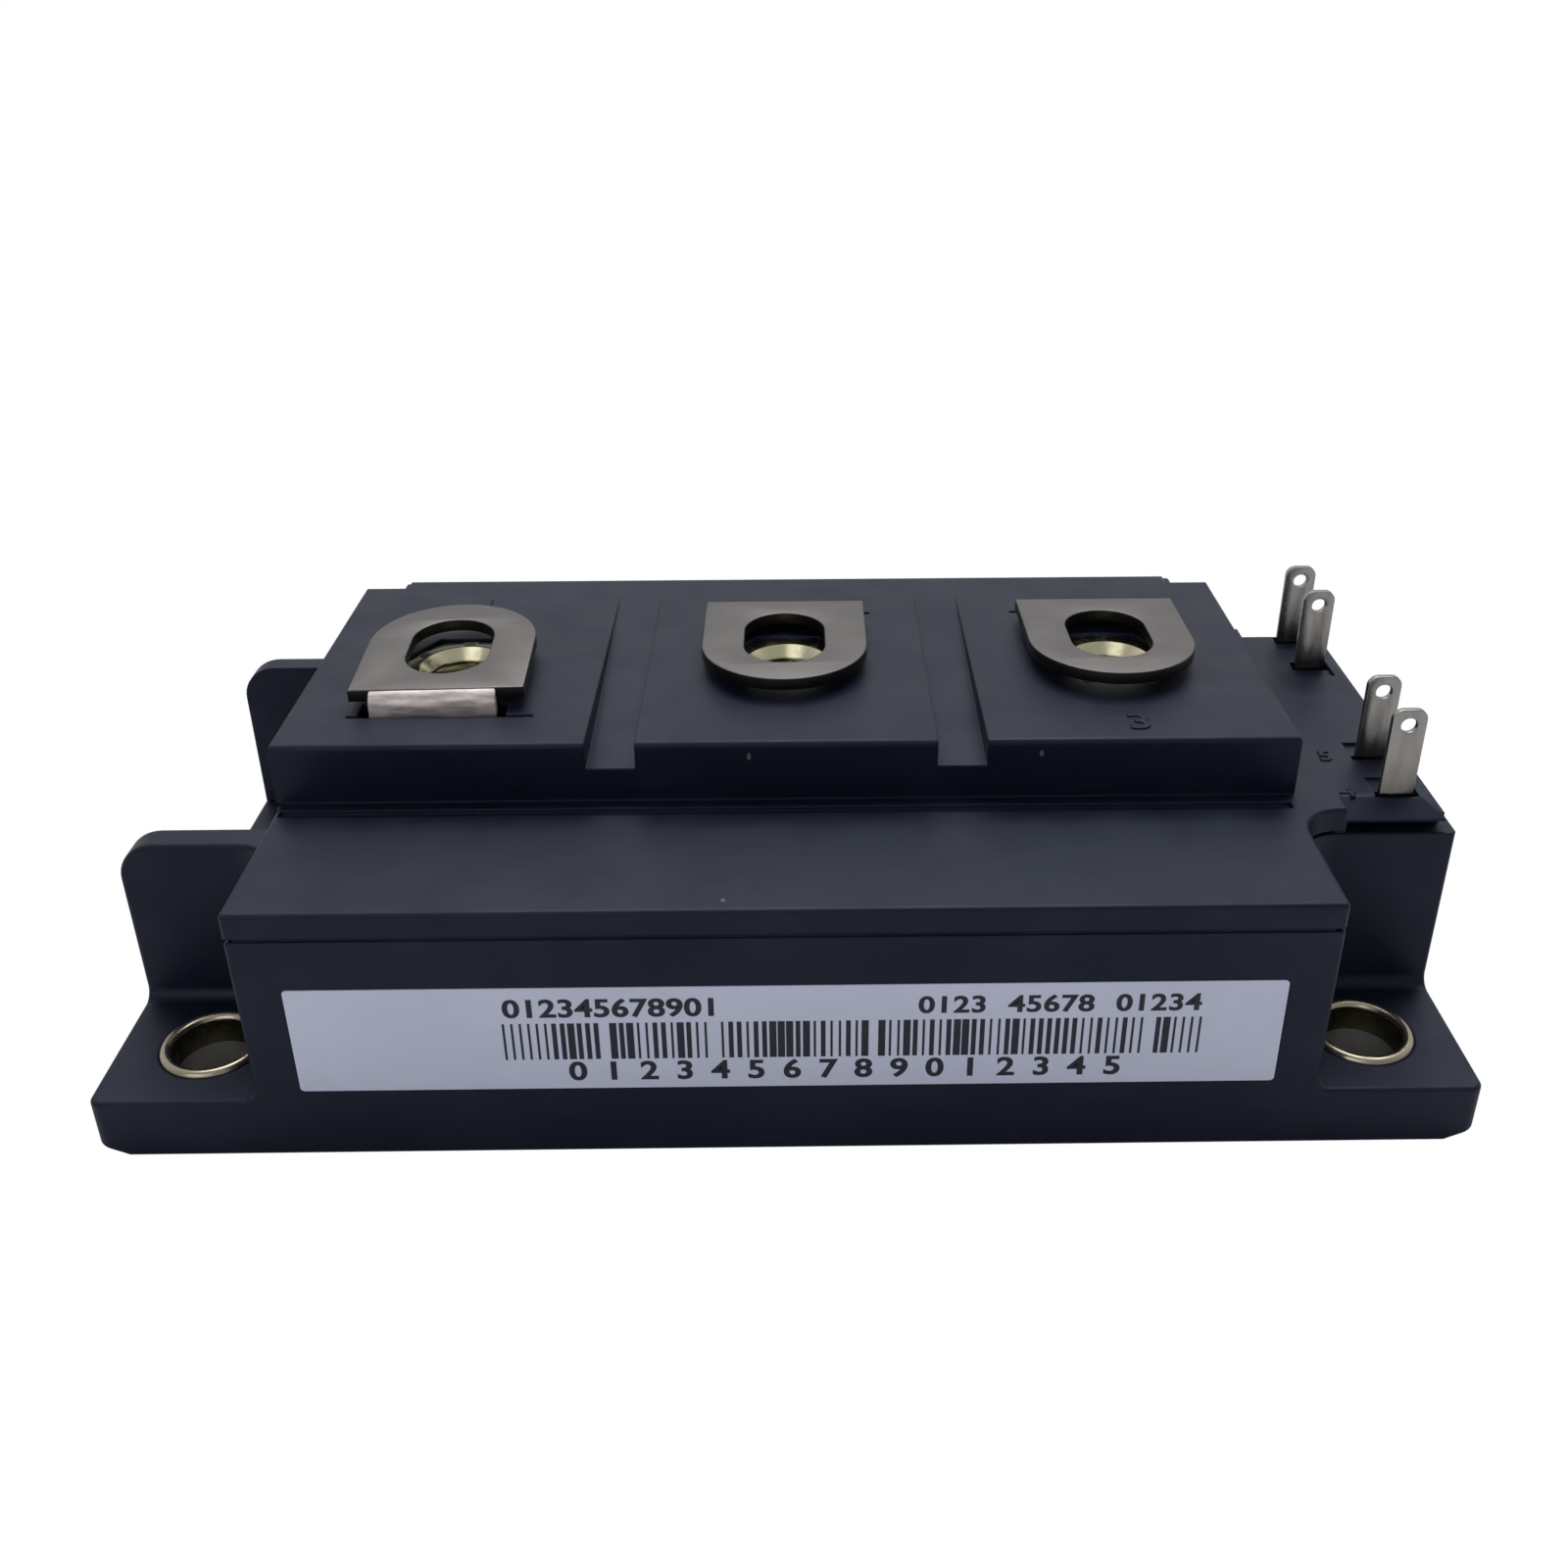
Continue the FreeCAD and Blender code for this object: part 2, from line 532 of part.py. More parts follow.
def strap_slots(body):
    """Slots through the tower's roof, on the side where each terminal's strap is bent down."""
    slots = new_sketch(body, "slot_plan", "XY_Plane", "sizes.tower_top")
    for _, x, side in TERMINALS:
        near = f"{side} * (places.strap_in - sizes.slot_gap)"
        far = f"{side} * (sizes.strap_out + sizes.slot_gap)"
        low, high = (near, far) if side > 0 else (far, near)
        rectangle(slots, f"{x} - sizes.slot_wide / 2", low, f"{x} + sizes.slot_wide / 2", high)
    pocket(body, slots, "sizes.tower_top - places.ceiling")


TABS = [("tab_front_outer", -1, "places.tab_far"), ("tab_front_inner", -1, "places.tab_near"),
        ("tab_rear_inner", 1, "places.tab_near"), ("tab_rear_outer", 1, "places.tab_far")]


def tab_slots(body):
    slots = new_sketch(body, "tab_slot_plan", "XY_Plane", "sizes.block_top")
    half_wide = "(sizes.tab_wide / 2 + sizes.tab_slot_gap)"
    half_thick = "(sizes.tab_thick / 2 + sizes.tab_slot_gap)"
    for _, side, across in TABS:
        middle = f"{side} * {across}"
        rectangle(slots, f"places.tab_x - {half_wide}", f"{middle} - {half_thick}",
                  f"places.tab_x + {half_wide}", f"{middle} + {half_thick}")
    pocket(body, slots, "sizes.block_top - sizes.frame_top")


def top_cover():
    """The moulded cover: one shell with shelf, tower, nut seats and locating rib."""
    body = new_body("top_cover")
    cover_shell(body)
    cover_roundings(body)
    grooves = new_sketch(body, "groove_plan", "XY_Plane", "sizes.tower_top")
    for low, high in (("-places.groove_outer", "-sizes.groove_inner"), ("sizes.groove_inner", "places.groove_outer")):
        rectangle(grooves, low, "-sizes.tower_front - sizes.wall", high, "places.groove_rear")
    pocket(body, grooves, "sizes.groove_deep")
    hollow = new_sketch(body, "hollow_plan", "XY_Plane", "places.ceiling")
    rectangle(hollow, "-places.room_end", "-sizes.tower_front + sizes.wall", "places.room_end",
              "sizes.tower_rear - sizes.wall")
    pocket(body, hollow, "places.ceiling - sizes.frame_top")
    nut_seats(body)
    strap_slots(body)
    tab_slots(body)
    rib = new_sketch(body, "rib_plan", "XY_Plane", "sizes.frame_top - sizes.rib_deep")
    for inset in ("sizes.fit_gap", "(sizes.fit_gap + sizes.rib_thick)"):
        rectangle(rib, f"-places.room_end + {inset}", f"-places.room_side + {inset}",
                  f"places.room_end - {inset}", f"places.room_side - {inset}")
    pad(body, rib, "sizes.rib_deep + sizes.rib_thick / 4")
    return body


def label():
    """The sticker on the front face."""
    body = new_body("label")
    face = new_sketch(body, "label_face", "XZ_Plane", "places.half_wide")
    rectangle(face, "-sizes.label_long / 2", "sizes.label_low", "sizes.label_long / 2",
              "sizes.label_low + sizes.label_high")
    pad(body, face, "sizes.label_thick")
    heights = [amount("sizes.label_low"), amount("sizes.label_low + sizes.label_high")]
    corners = edge_names(body, "y", x=both("sizes.label_long / 2"), z=heights)
    soften(body, "Fillet", "label_corners", "sizes.label_corner", corners)
    return body


# Screw terminals, nuts and flat tabs


def terminal_plate(body, tag):
    """The flat D-shaped head with its oblong hole and the notches beside the strap."""
    half = "sizes.terminal_wide / 2"
    head = new_sketch(body, tag + "_head", "XY_Plane", "places.sheet_under")
    rectangle(head, f"-{half}", "-places.heel", half, "places.round_centre")
    pad(body, head, "sizes.sheet")
    tip = new_sketch(body, tag + "_tip", "XY_Plane", "places.sheet_under")
    circle(tip, "0", "places.round_centre", half)
    pad(body, tip, "sizes.sheet")
    notch = new_sketch(body, tag + "_notch", "XY_Plane", "places.terminal_top")
    reach = "(sizes.strap_wide / 2 + sizes.relief)"
    rectangle(notch, f"-{reach}", "-places.heel - sizes.sheet", reach, "-places.bend_start + sizes.relief")
    pocket(body, notch, "sizes.sheet")
    eye_half = "(sizes.eye_long - sizes.eye_wide) / 2"
    middle = new_sketch(body, tag + "_eye", "XY_Plane", "places.terminal_top")
    rectangle(middle, "-sizes.eye_wide / 2", f"-sizes.eye_shift - {eye_half}", "sizes.eye_wide / 2",
              f"-sizes.eye_shift + {eye_half}")
    pocket(body, middle, "sizes.sheet")
    for sign in ("-", "+"):
        end = new_sketch(body, tag + ("_eye_near" if sign == "-" else "_eye_far"), "XY_Plane", "places.terminal_top")
        circle(end, "0", f"-sizes.eye_shift {sign} {eye_half}", "sizes.eye_wide / 2")
        pocket(body, end, "sizes.sheet")


def terminal_strap(body, tag, foot):
    """The strap that is bent down through the tower, and its solder foot on a track."""
    strap = new_sketch(body, tag + "_strap", "YZ_Plane", "-sizes.strap_wide / 2")
    inside = "-places.bend_start + 2 * sizes.relief"
    knee = "sizes.gel_top"
    outline(strap, [(inside, "places.terminal_top"), ("-sizes.strap_out", "places.terminal_top"),
                    ("-sizes.strap_out", knee), ("-places.strap_in", knee),
                    ("-places.strap_in", "places.sheet_under"), (inside, "places.sheet_under")])
    pad(body, strap, "sizes.strap_wide")
    outer = edge_names(body, "x", y=[-amount("sizes.strap_out")], z=[amount("places.terminal_top")])
    soften(body, "Fillet", tag + "_bend_out", "sizes.bend_inner + sizes.sheet", outer)
    inner = edge_names(body, "x", y=[-amount("places.strap_in")], z=[amount("places.sheet_under")])
    soften(body, "Fillet", tag + "_bend_in", "sizes.bend_inner", inner)
    leg = new_sketch(body, tag + "_leg", "YZ_Plane", foot[0])
    heel = "-sizes.strap_out - sizes.foot_long"
    sole = "places.track_top + sizes.foot_thick"
    outline(leg, [("-places.strap_in", f"{knee} + sizes.sheet"), ("-sizes.strap_out", f"{knee} + sizes.sheet"),
                  ("-sizes.strap_out", sole), (heel, sole), (heel, "places.track_top"),
                  ("-places.strap_in", "places.track_top")])
    pad(body, leg, f"({foot[1]}) - ({foot[0]})")


FEET = {"left": ("-sizes.strap_wide / 2 + sizes.foot_inset", "sizes.strap_wide / 2 - sizes.foot_inset"),
        "middle": ("sizes.strap_wide / 2 - sizes.foot_narrow", "sizes.strap_wide / 2"),
        "right": ("sizes.strap_wide / 2 - sizes.foot_broad", "sizes.strap_wide / 2")}


# Shift along the length and turn of each screw terminal in its slot
PLAY = {"left": ("sizes.left_shift", "sizes.left_turn"), "middle": ("sizes.middle_shift", "0"),
        "right": ("0", "0")}


def screw_terminal(place, x, side):
    """One folded sheet; the middle and the right one face the other way."""
    body = new_body("terminal_" + place)
    terminal_plate(body, place)
    terminal_strap(body, place, FEET[place])
    shift, turn = PLAY[place]
    facing = 180 if side > 0 else 0
    body.Placement.Rotation = Rotation(Vector(0, 0, 1), facing + amount(turn))
    body.setExpression("Placement.Base.x", f"{x} + ({shift})")
    return body


def terminal_nut(place, x):
    """A hexagonal nut, its bore before the thread."""
    name = "terminal_nut_" + place
    body = new_body(name)
    plan = new_sketch(body, name + "_plan", "XY_Plane", "places.nut_floor")
    hexagon(plan, "0", "places.nut_radius")
    pad(body, plan, "sizes.nut_thick")
    bore = new_sketch(body, name + "_bore", "XY_Plane", "places.nut_top")
    circle(bore, "0", "0", "sizes.nut_bore")
    pocket(body, bore, "sizes.nut_thick")
    rims = [edge for edge in edge_names(body, z=[amount("places.nut_floor"), amount("places.nut_top")])
            if body.Tip.Shape.getElement(edge).Closed]
    soften(body, "Chamfer", name + "_mouth", "sizes.nut_chamfer", rims)
    body.setExpression("Placement.Base.x", x)
    return body


def flat_tab(name, side, across, landing):
    """One stamping: blade, lead inside the case and a bent solder foot."""
    body = new_body(name)
    middle = f"({side} * {across})"
    blade = new_sketch(body, name + "_side", "XZ_Plane", f"-{middle} - sizes.tab_thick / 2")
    outer = "places.tab_x + sizes.tab_wide / 2"
    inner = "places.tab_x - sizes.tab_wide / 2"
    near = f"{landing} + sizes.lead_leg / 2"
    far = f"{landing} - sizes.lead_leg / 2"
    outline(blade, [(outer, "sizes.lead_low"), (outer, "sizes.tab_top"), (inner, "sizes.tab_top"),
                    (inner, "sizes.lead_high"), (far, "sizes.lead_high"), (far, "places.track_top"),
                    (near, "places.track_top"), (near, "sizes.lead_low")])
    pad(body, blade, "sizes.tab_thick")
    ends = [amount(outer), amount(inner)]
    tops = edge_names(body, "y", x=ends, z=[amount("sizes.tab_top")])
    soften(body, "Fillet", name + "_corners", "sizes.tab_corner", tops)
    eye = new_sketch(body, name + "_eye", "XZ_Plane", f"-{middle} + sizes.tab_thick / 2")
    circle(eye, "places.tab_x", "sizes.tab_top - sizes.tab_eye_drop", "sizes.tab_eye")
    pocket(body, eye, "sizes.tab_thick")
    foot = new_sketch(body, name + "_foot", "XY_Plane", "places.track_top")
    sides = [middle, f"{middle} - {side} * sizes.lead_foot"]
    low, high = sides if side < 0 else sides[::-1]
    rectangle(foot, far, low, near, high)
    pad(body, foot, "sizes.tab_thick")
    return body


# Circuit inside: substrates with copper, chips, bond wires, link and filling


class Side:
    """Signs and places of one substrate; the right one is the left one turned over its long axis."""

    def __init__(self, name, sign):
        self.name = name
        self.sign = sign
        self.middle = f"({sign} * places.ceramic_x)"

    def across(self, low, high):
        """A stretch across the module, mirrored on the right substrate."""
        return (f"{low}", f"{high}") if self.sign < 0 else (f"-({high})", f"-({low})")

    def along(self, low, high):
        return (f"{self.middle} + ({low})", f"{self.middle} + ({high})")

    def point(self, formula):
        return formula if self.sign < 0 else f"-({formula})"


def stack(side):
    """Solder, lower copper and ceramic of one substrate."""
    inset = "sizes.copper_inset"
    copper_x = side.along("-places.track_half_long", "places.track_half_long")
    copper_y = ("-places.track_half_wide", "places.track_half_wide")
    ceramic_y = (f"-places.track_half_wide - {inset}", f"places.track_half_wide + {inset}")
    return [
        box(f"solder_{side.name}", copper_x, copper_y, ("sizes.plate_thick", "places.solder_top")),
        box(f"substrate_copper_{side.name}", copper_x, copper_y,
            ("places.solder_top", "places.lower_copper_top")),
        box(f"substrate_{side.name}",
            side.along(f"-places.track_half_long - {inset}", f"places.track_half_long + {inset}"), ceramic_y,
            ("places.lower_copper_top", "places.ceramic_top")),
    ]


def tracks(side):
    """Upper copper of one substrate: collector, emitter, gate and sense tracks."""
    level = ("places.ceramic_top", "places.track_top")
    name = side.name
    split = "places.diode_far + sizes.track_gap / 2"
    corner = "places.chip_far + sizes.diode_gap"
    neck = "places.track_end - sizes.edge_track"
    whole = box(f"collector_{name}", side.along("-places.track_half_long", "places.track_end"),
                side.across("-places.track_half_wide", split), level)
    bite = box(f"bite_{name}", side.along(neck, "places.track_end + sizes.track_gap"),
               side.across(corner, f"{split} + sizes.track_gap"), level)
    collector = doc.addObject("Part::Cut", f"collector_track_{name}")
    collector.Base = whole
    collector.Tool = bite
    strip = box(f"emitter_{name}", side.along("-places.track_half_long", "places.track_half_long"),
                side.across(f"{split} + sizes.track_gap", "places.track_half_wide"), level)
    arm = box(f"arm_{name}", side.along(f"{neck} + sizes.track_gap", "places.track_half_long"),
              side.across(f"{corner} + sizes.track_gap", "places.track_half_wide"), level)
    emitter = doc.addObject("Part::Fuse", f"emitter_track_{name}")
    emitter.Base = strip
    emitter.Tool = arm
    edge = side.along("places.edge_track_start", "places.track_half_long")
    gate = box(f"gate_{name}", edge, side.across("-sizes.gate_far", "-sizes.gate_near"), level)
    sense = box(f"sense_{name}", edge, side.across("-sizes.sense_far", "-sizes.gate_far - sizes.track_gap"), level)
    group = doc.addObject("Part::Compound", f"tracks_{name}")
    group.Label = f"tracks_{name}"
    group.Links = [collector, emitter, gate, sense]
    return group


def chips(side):
    """Two transistor chips and their diodes on one collector track."""
    made = []
    level = ("places.track_top", "places.chip_top")
    for number, step in (("1", "-sizes.chip_pitch / 2"), ("2", "sizes.chip_pitch / 2")):
        spot = f"{step} - sizes.chip_back"
        for kind, size, low, high in (
                ("transistor_chip", "sizes.chip_side", "places.chip_far - sizes.chip_side", "places.chip_far"),
                ("diode_chip", "sizes.diode_side", "places.diode_near", "places.diode_far")):
            x = side.along(f"{spot} - {size} / 2", f"{spot} + {size} / 2")
            made.append(box(f"{kind}_{side.name}_{number}", x, side.across(low, high), level))
    return made


def arch(name, start, end, along_x, foot_at_end):
    """A wire bent to half a ring between two points of one line; it can end in a straight foot on a track."""
    (x0, y0), (x1, y1) = start, end
    body = new_body(name)
    reach = f"(({x1}) - ({x0})) / 2" if along_x else f"(({y1}) - ({y0})) / 2"
    section = new_sketch(body, name + "_section", "XY_Plane", "0")
    hexagon(section, f"abs({reach})", "sizes.wire")
    ring = body.newObject("PartDesign::Revolution", name + "_ring")
    ring.Profile = section
    ring.ReferenceAxis = (section, ["V_Axis"])
    ring.Angle = 180
    ring.Reversed = True
    doc.recompute()
    if foot_at_end:
        foot = new_sketch(body, name + "_foot", "XY_Plane", "-sizes.chip_thick")
        hexagon(foot, f"{reach}", "sizes.wire")
        pad(body, foot, "sizes.chip_thick")
    if not along_x:
        body.Placement.Rotation = Rotation(Vector(0, 0, 1), 90)
    body.setExpression("Placement.Base.x", f"(({x0}) + ({x1})) / 2")
    body.setExpression("Placement.Base.y", f"(({y0}) + ({y1})) / 2")
    body.setExpression("Placement.Base.z", "places.chip_top")
    return body


def bond_wires(side):
    """Emitter wires over each chip pair, and the gate wires of one substrate."""
    emitter, gate = [], []
    spots = [f"{side.middle} {sign} sizes.chip_pitch / 2 - sizes.chip_back" for sign in ("-", "+")]
    from_chip = side.point("places.chip_far - sizes.stitch_in")
    to_diode = side.point("places.diode_near + sizes.stitch_in")
    from_diode = side.point("places.diode_far - sizes.stitch_in")
    to_track = side.point("places.diode_far + sizes.track_gap * 1.5 + sizes.stitch_in")
    for pair, spot in enumerate(spots, start=1):
        for number, step in enumerate(("-sizes.wire_pitch / 2", "sizes.wire_pitch / 2"), start=1):
            x = f"{spot} + ({step})"
            tag = f"{side.name}_{pair}_{number}"
            emitter.append(arch(f"wire_chip_{tag}", (x, from_chip), (x, to_diode), False, False))
            emitter.append(arch(f"wire_track_{tag}", (x, from_diode), (x, to_track), False, True))
    row = side.point("places.chip_far - sizes.chip_side + sizes.stitch_in")
    reach = "(sizes.chip_side / 2 - sizes.stitch_in)"
    gate.append(arch(f"wire_gate_{side.name}_2", (f"{spots[1]} + {reach}", row),
                     (f"{side.middle} + places.edge_track_middle", row), True, True))
    gate.append(arch(f"wire_gate_{side.name}_1", (f"{spots[0]} + {reach}", row),
                     (f"{spots[1]} - {reach}", row), True, False))
    groups = []
    for kind, wires in (("emitter_wires", emitter), ("gate_wires", gate)):
        group = doc.addObject("Part::Compound", f"{kind}_{side.name}")
        group.Label = f"{kind}_{side.name}"
        group.Links = wires
        groups.append(group)
    return groups


def substrate_link(left, right):
    """A copper bridge from the right substrate's emitter track to the left one's collector track."""
    body = new_body("substrate_link")
    profile = new_sketch(body, "link_side", "XZ_Plane",
                         "places.track_half_wide - sizes.link_wide - sizes.link_in")
    foot = "sizes.link_foot"
    thick = "sizes.link_thick"
    x1 = f"{left.middle} + places.track_end - {thick}"
    x2 = f"{right.middle} - places.track_half_long + {thick}"
    x0 = f"{x1} - {foot}"
    x3 = f"{x2} + {foot}"
    base = "places.track_top"
    roof = f"{base} + sizes.link_high"
    outline(profile, [(x0, base), (f"{x1} + {thick}", base), (f"{x1} + {thick}", f"{roof} - {thick}"),
                      (f"{x2} - {thick}", f"{roof} - {thick}"), (f"{x2} - {thick}", base), (x3, base),
                      (x3, f"{base} + {thick}"), (x2, f"{base} + {thick}"), (x2, roof), (x1, roof),
                      (x1, f"{base} + {thick}"), (x0, f"{base} + {thick}")])
    pad(body, profile, "sizes.link_wide")
    return body


def soft_filling(sides, inner):
    """The filling poured over the circuit, with room round chips and wires."""
    block = new_body("filling_block")
    plan = new_sketch(block, "filling_plan", "XY_Plane", "sizes.plate_thick")
    room_outline(plan, "0")
    pad(block, plan, "sizes.gel_top - sizes.plate_thick")
    rooms = []
    highest = "(sizes.chip_pitch - sizes.chip_side) / 2 + sizes.stitch_in + sizes.wire + sizes.gel_room"
    for side in sides:
        x = side.along("-places.track_half_long", "places.track_half_long")
        y = side.across("places.chip_far - sizes.chip_side - sizes.gel_room", "places.track_half_wide")
        rooms.append(box(f"wire_room_{side.name}", x, y, ("places.track_top", f"places.chip_top + {highest}")))
    taken = doc.addObject("Part::Compound", "filled_space")
    taken.Links = inner + rooms
    filling = doc.addObject("Part::Cut", "silicone_filling")
    filling.Label = "silicone_filling"
    filling.Base = block
    filling.Tool = taken
    return filling


def build():
    """Every node of the module, in the order of assembly."""
    left, right = Side("left", -1), Side("right", 1)
    nodes = [base_plate(), case_frame()]
    for number, (x, y) in enumerate([("-", "-"), ("", "-"), ("-", ""), ("", "")], start=1):
        nodes.append(mounting_bush(f"mounting_bush_{number}", f"{x}places.hole_x", f"{y}places.hole_y"))
    inner = []
    for side in (left, right):
        inner += stack(side)
        inner.append(tracks(side))
        nodes += chips(side)
        nodes += bond_wires(side)
    inner.append(substrate_link(left, right))
    for place, x, turn in TERMINALS:
        inner.append(screw_terminal(place, x, turn))
        nodes.append(terminal_nut(place, x))
    for name, turn, across in TABS:
        middle = left.middle if turn < 0 else right.middle
        inner.append(flat_tab(name, turn, across, f"{middle} + places.edge_track_middle"))
    nodes += inner
    nodes.append(soft_filling((left, right), inner))
    nodes += [top_cover(), label()]
    return nodes


def check(nodes):
    """Stops when an object has failed or a node is empty or not valid."""
    doc.recompute()
    for item in doc.Objects:
        if "Invalid" in item.State or "Error" in item.State:
            raise RuntimeError(f"{item.Name}: {item.State}")
    for node in nodes:
        if node.Shape.isNull() or not node.Shape.isValid() or node.Shape.Volume <= 0:
            raise RuntimeError(f"{node.Label} has no valid shape")


def write(nodes):
    os.makedirs("parts", exist_ok=True)
    for node in nodes:
        node.Shape.exportStep(f"parts/{node.Label}.step")
    print(len(nodes), "parts written")


def main():
    nodes = build()
    check(nodes)
    write(nodes)


main()
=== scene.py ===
import math
from collections import namedtuple

import bmesh
import bpy
from bpy.props import FloatProperty, FloatVectorProperty, IntProperty, PointerProperty, StringProperty
from mathutils import Matrix, Vector


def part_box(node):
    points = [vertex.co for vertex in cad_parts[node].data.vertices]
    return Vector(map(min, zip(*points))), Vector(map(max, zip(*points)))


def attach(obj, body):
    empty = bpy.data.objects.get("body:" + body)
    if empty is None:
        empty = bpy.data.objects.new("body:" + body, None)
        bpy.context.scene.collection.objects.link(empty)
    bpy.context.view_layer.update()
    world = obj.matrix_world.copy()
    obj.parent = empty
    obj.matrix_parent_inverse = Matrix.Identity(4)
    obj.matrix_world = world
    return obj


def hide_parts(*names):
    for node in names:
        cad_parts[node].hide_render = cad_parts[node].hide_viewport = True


bl_info = {
    "name": "Power module looks",
    "version": (1, 0, 0),
    "blender": (4, 5, 0),
    "location": "3D View > Sidebar > Power module",
    "description": "Pieces, finishes and stage of a half-bridge power module with screw terminals",
    "category": "Object",
}

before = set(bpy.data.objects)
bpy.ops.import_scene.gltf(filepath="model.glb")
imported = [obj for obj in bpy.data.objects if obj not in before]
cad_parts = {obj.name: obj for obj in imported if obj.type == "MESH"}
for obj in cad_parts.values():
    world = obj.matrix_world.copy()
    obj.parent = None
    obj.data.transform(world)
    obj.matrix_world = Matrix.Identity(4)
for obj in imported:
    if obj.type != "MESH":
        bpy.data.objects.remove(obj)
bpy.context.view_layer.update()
MM = 0.001
# Points of a mesh that are closer than this are one, in metres
JOIN = 0.0005 * MM
BODY = "root"
TABS = ("tab_front_outer", "tab_front_inner", "tab_rear_inner", "tab_rear_outer")

# A screw terminal's x in the row, the side of its strap (1 rear, -1 front), its turn about the upright
# axis, the angle that its head is bent up, and how far its strap stands off the head's middle. Lengths are
# in millimetres and angles in degrees here and in all the named values below.
Terminal = namedtuple("Terminal", "x facing turn tilt off")
TERMINALS = {"left": Terminal(-29.2, -1, 2.0, 1.7, -0.3), "middle": Terminal(-0.2, 1, 180.0, 0.0, 0.0),
             "right": Terminal(28.35, 1, 180.0, 1.0, 0.0)}
TERMINAL_PITCH = 28.5


# Settings that a user would change


def colour(name, description, default):
    return FloatVectorProperty(name=name, description=description, default=default, subtype="COLOR",
                               size=3, min=0, max=1)


def length(name, description, default):
    return FloatProperty(name=name, description=description, default=default * MM, unit="LENGTH",
                         min=0, precision=5)


class CaseSettings(bpy.types.PropertyGroup):
    """The moulded frame and cover"""
    plastic: colour("Plastic", "Colour of the moulded plastic", (0.0026, 0.0048, 0.0160))
    bloom: colour("Bloom", "Colour of the faint haze on the plastic", (0.0125, 0.0170, 0.0335))
    roughness: FloatProperty(name="Roughness", description="Mean roughness of the plastic", default=0.46,
                             min=0, max=1, subtype="FACTOR")
    grain: length("Grain", "Size of the mould's fine grain", 0.12)
    edge: length("Edge", "Radius at which sharp edges of the mouldings catch light", 0.26)
    sheen: colour("Sheen", "Tint of the plastic's reflections", (0.66, 0.76, 1.0))
    numeral_height: length("Numeral height", "Height of a moulded numeral's figure", 2.6)
    numeral_rise: length("Numeral rise", "How far a moulded numeral stands up", 0.12)


class MetalSettings(bpy.types.PropertyGroup):
    """Terminals, nuts, bushes, tabs and base plate"""
    nickel: colour("Nickel", "Colour of the plated screw terminals", (0.165, 0.157, 0.154))
    # The bend's colour is a painted highlight, far brighter than the plating
    bend: colour("Bend", "Colour of the painted highlight over a bend", (1.0, 0.89, 0.86))
    brass: colour("Brass", "Colour of the nuts", (0.95, 0.90, 0.62))
    bush: colour("Bush", "Colour of the mounting bushes", (0.56, 0.50, 0.39))
    tin: colour("Tin", "Colour of the flat tabs", (0.40, 0.385, 0.37))
    sheet_edge: length("Sheet edge", "Rounding of the screw terminals' edges", 0.13)
    tab_edge: length("Tab edge", "Rounding of the flat tabs' edges", 0.07)
    thread_pitch: length("Thread pitch", "Rise of the nuts' thread in one turn", 1.0)
    thread_crest: length("Thread crest", "Inner radius of the nuts' thread", 2.5)
    thread_root: length("Thread root", "Outer radius of the nuts' thread", 3.0)
    nut_mouth: length("Nut mouth", "Radius of the nuts' countersunk mouth", 3.72)
    nut_lift: length("Nut lift", "How far a nut lies above the floor of its seat", 0.45)
    bush_proud: length("Bush rim", "Rolled rim of a bush above its sleeve", 0.30)


class LabelSettings(bpy.types.PropertyGroup):
    """The sticker and its print"""
    film: colour("Film", "Colour of the sticker", (0.72, 0.765, 0.955))
    ink: colour("Ink", "Colour of the print", (0.012, 0.015, 0.032))
    bar_count: IntProperty(name="Bars", description="Places for bars in the row", default=84, min=2)
    bar_unit: length("Bar unit", "Width of the thinnest bar", 0.18)
    bar_seed: IntProperty(name="Seed", description="Seed of the bars' widths", default=11)
    counting: StringProperty(name="Digits", description="Plain counting digits of the label",
                             default="0123456789")


class StageSettings(bpy.types.PropertyGroup):
    """Floor, lights and camera"""
    floor: colour("Floor", "Colour of the floor", (0.66, 0.66, 0.665))
    haze: FloatProperty(name="Bright floor", default=1.0, min=0, max=1, subtype="FACTOR",
                        description="Share of plain white in the floor as the camera sees it")
    key_power: FloatProperty(name="Key light", description="Power of the large lamp above the rear",
                             default=3.6, min=0, unit="POWER")
    fill_power: FloatProperty(name="Fill light", description="Power of the lamp at the front", default=0.55,
                              min=0, unit="POWER")
    rear_sky: FloatProperty(name="Rear sky", description="Strength of the sky behind the module",
                            default=0.62, min=0)
    front_sky: FloatProperty(name="Front sky", description="Strength of the sky in front", default=0.28,
                             min=0)


# Materials


def feed(tree, socket, value):
    """Sets an input of a node to a value, or links it to another node's output."""
    if isinstance(value, bpy.types.NodeSocket):
        tree.links.new(value, socket)
    elif hasattr(value, "__len__") and len(value) == 3 and len(socket.default_value) == 4:
        socket.default_value = (*value, 1)
    else:
        socket.default_value = value


def added(tree, kind, inputs=(), **settings):
    """Adds a node to a tree with its settings and what its inputs take, and gives its outputs."""
    made = tree.nodes.new(kind)
    for key, value in settings.items():
        setattr(made, key, value)
    for key, value in dict(inputs).items():
        feed(tree, made.inputs[key], value)
    return made.outputs


def scaled(shade, share):
    """A lighter or darker shade of the same tint."""
    return [min(1, part * share) for part in shade]


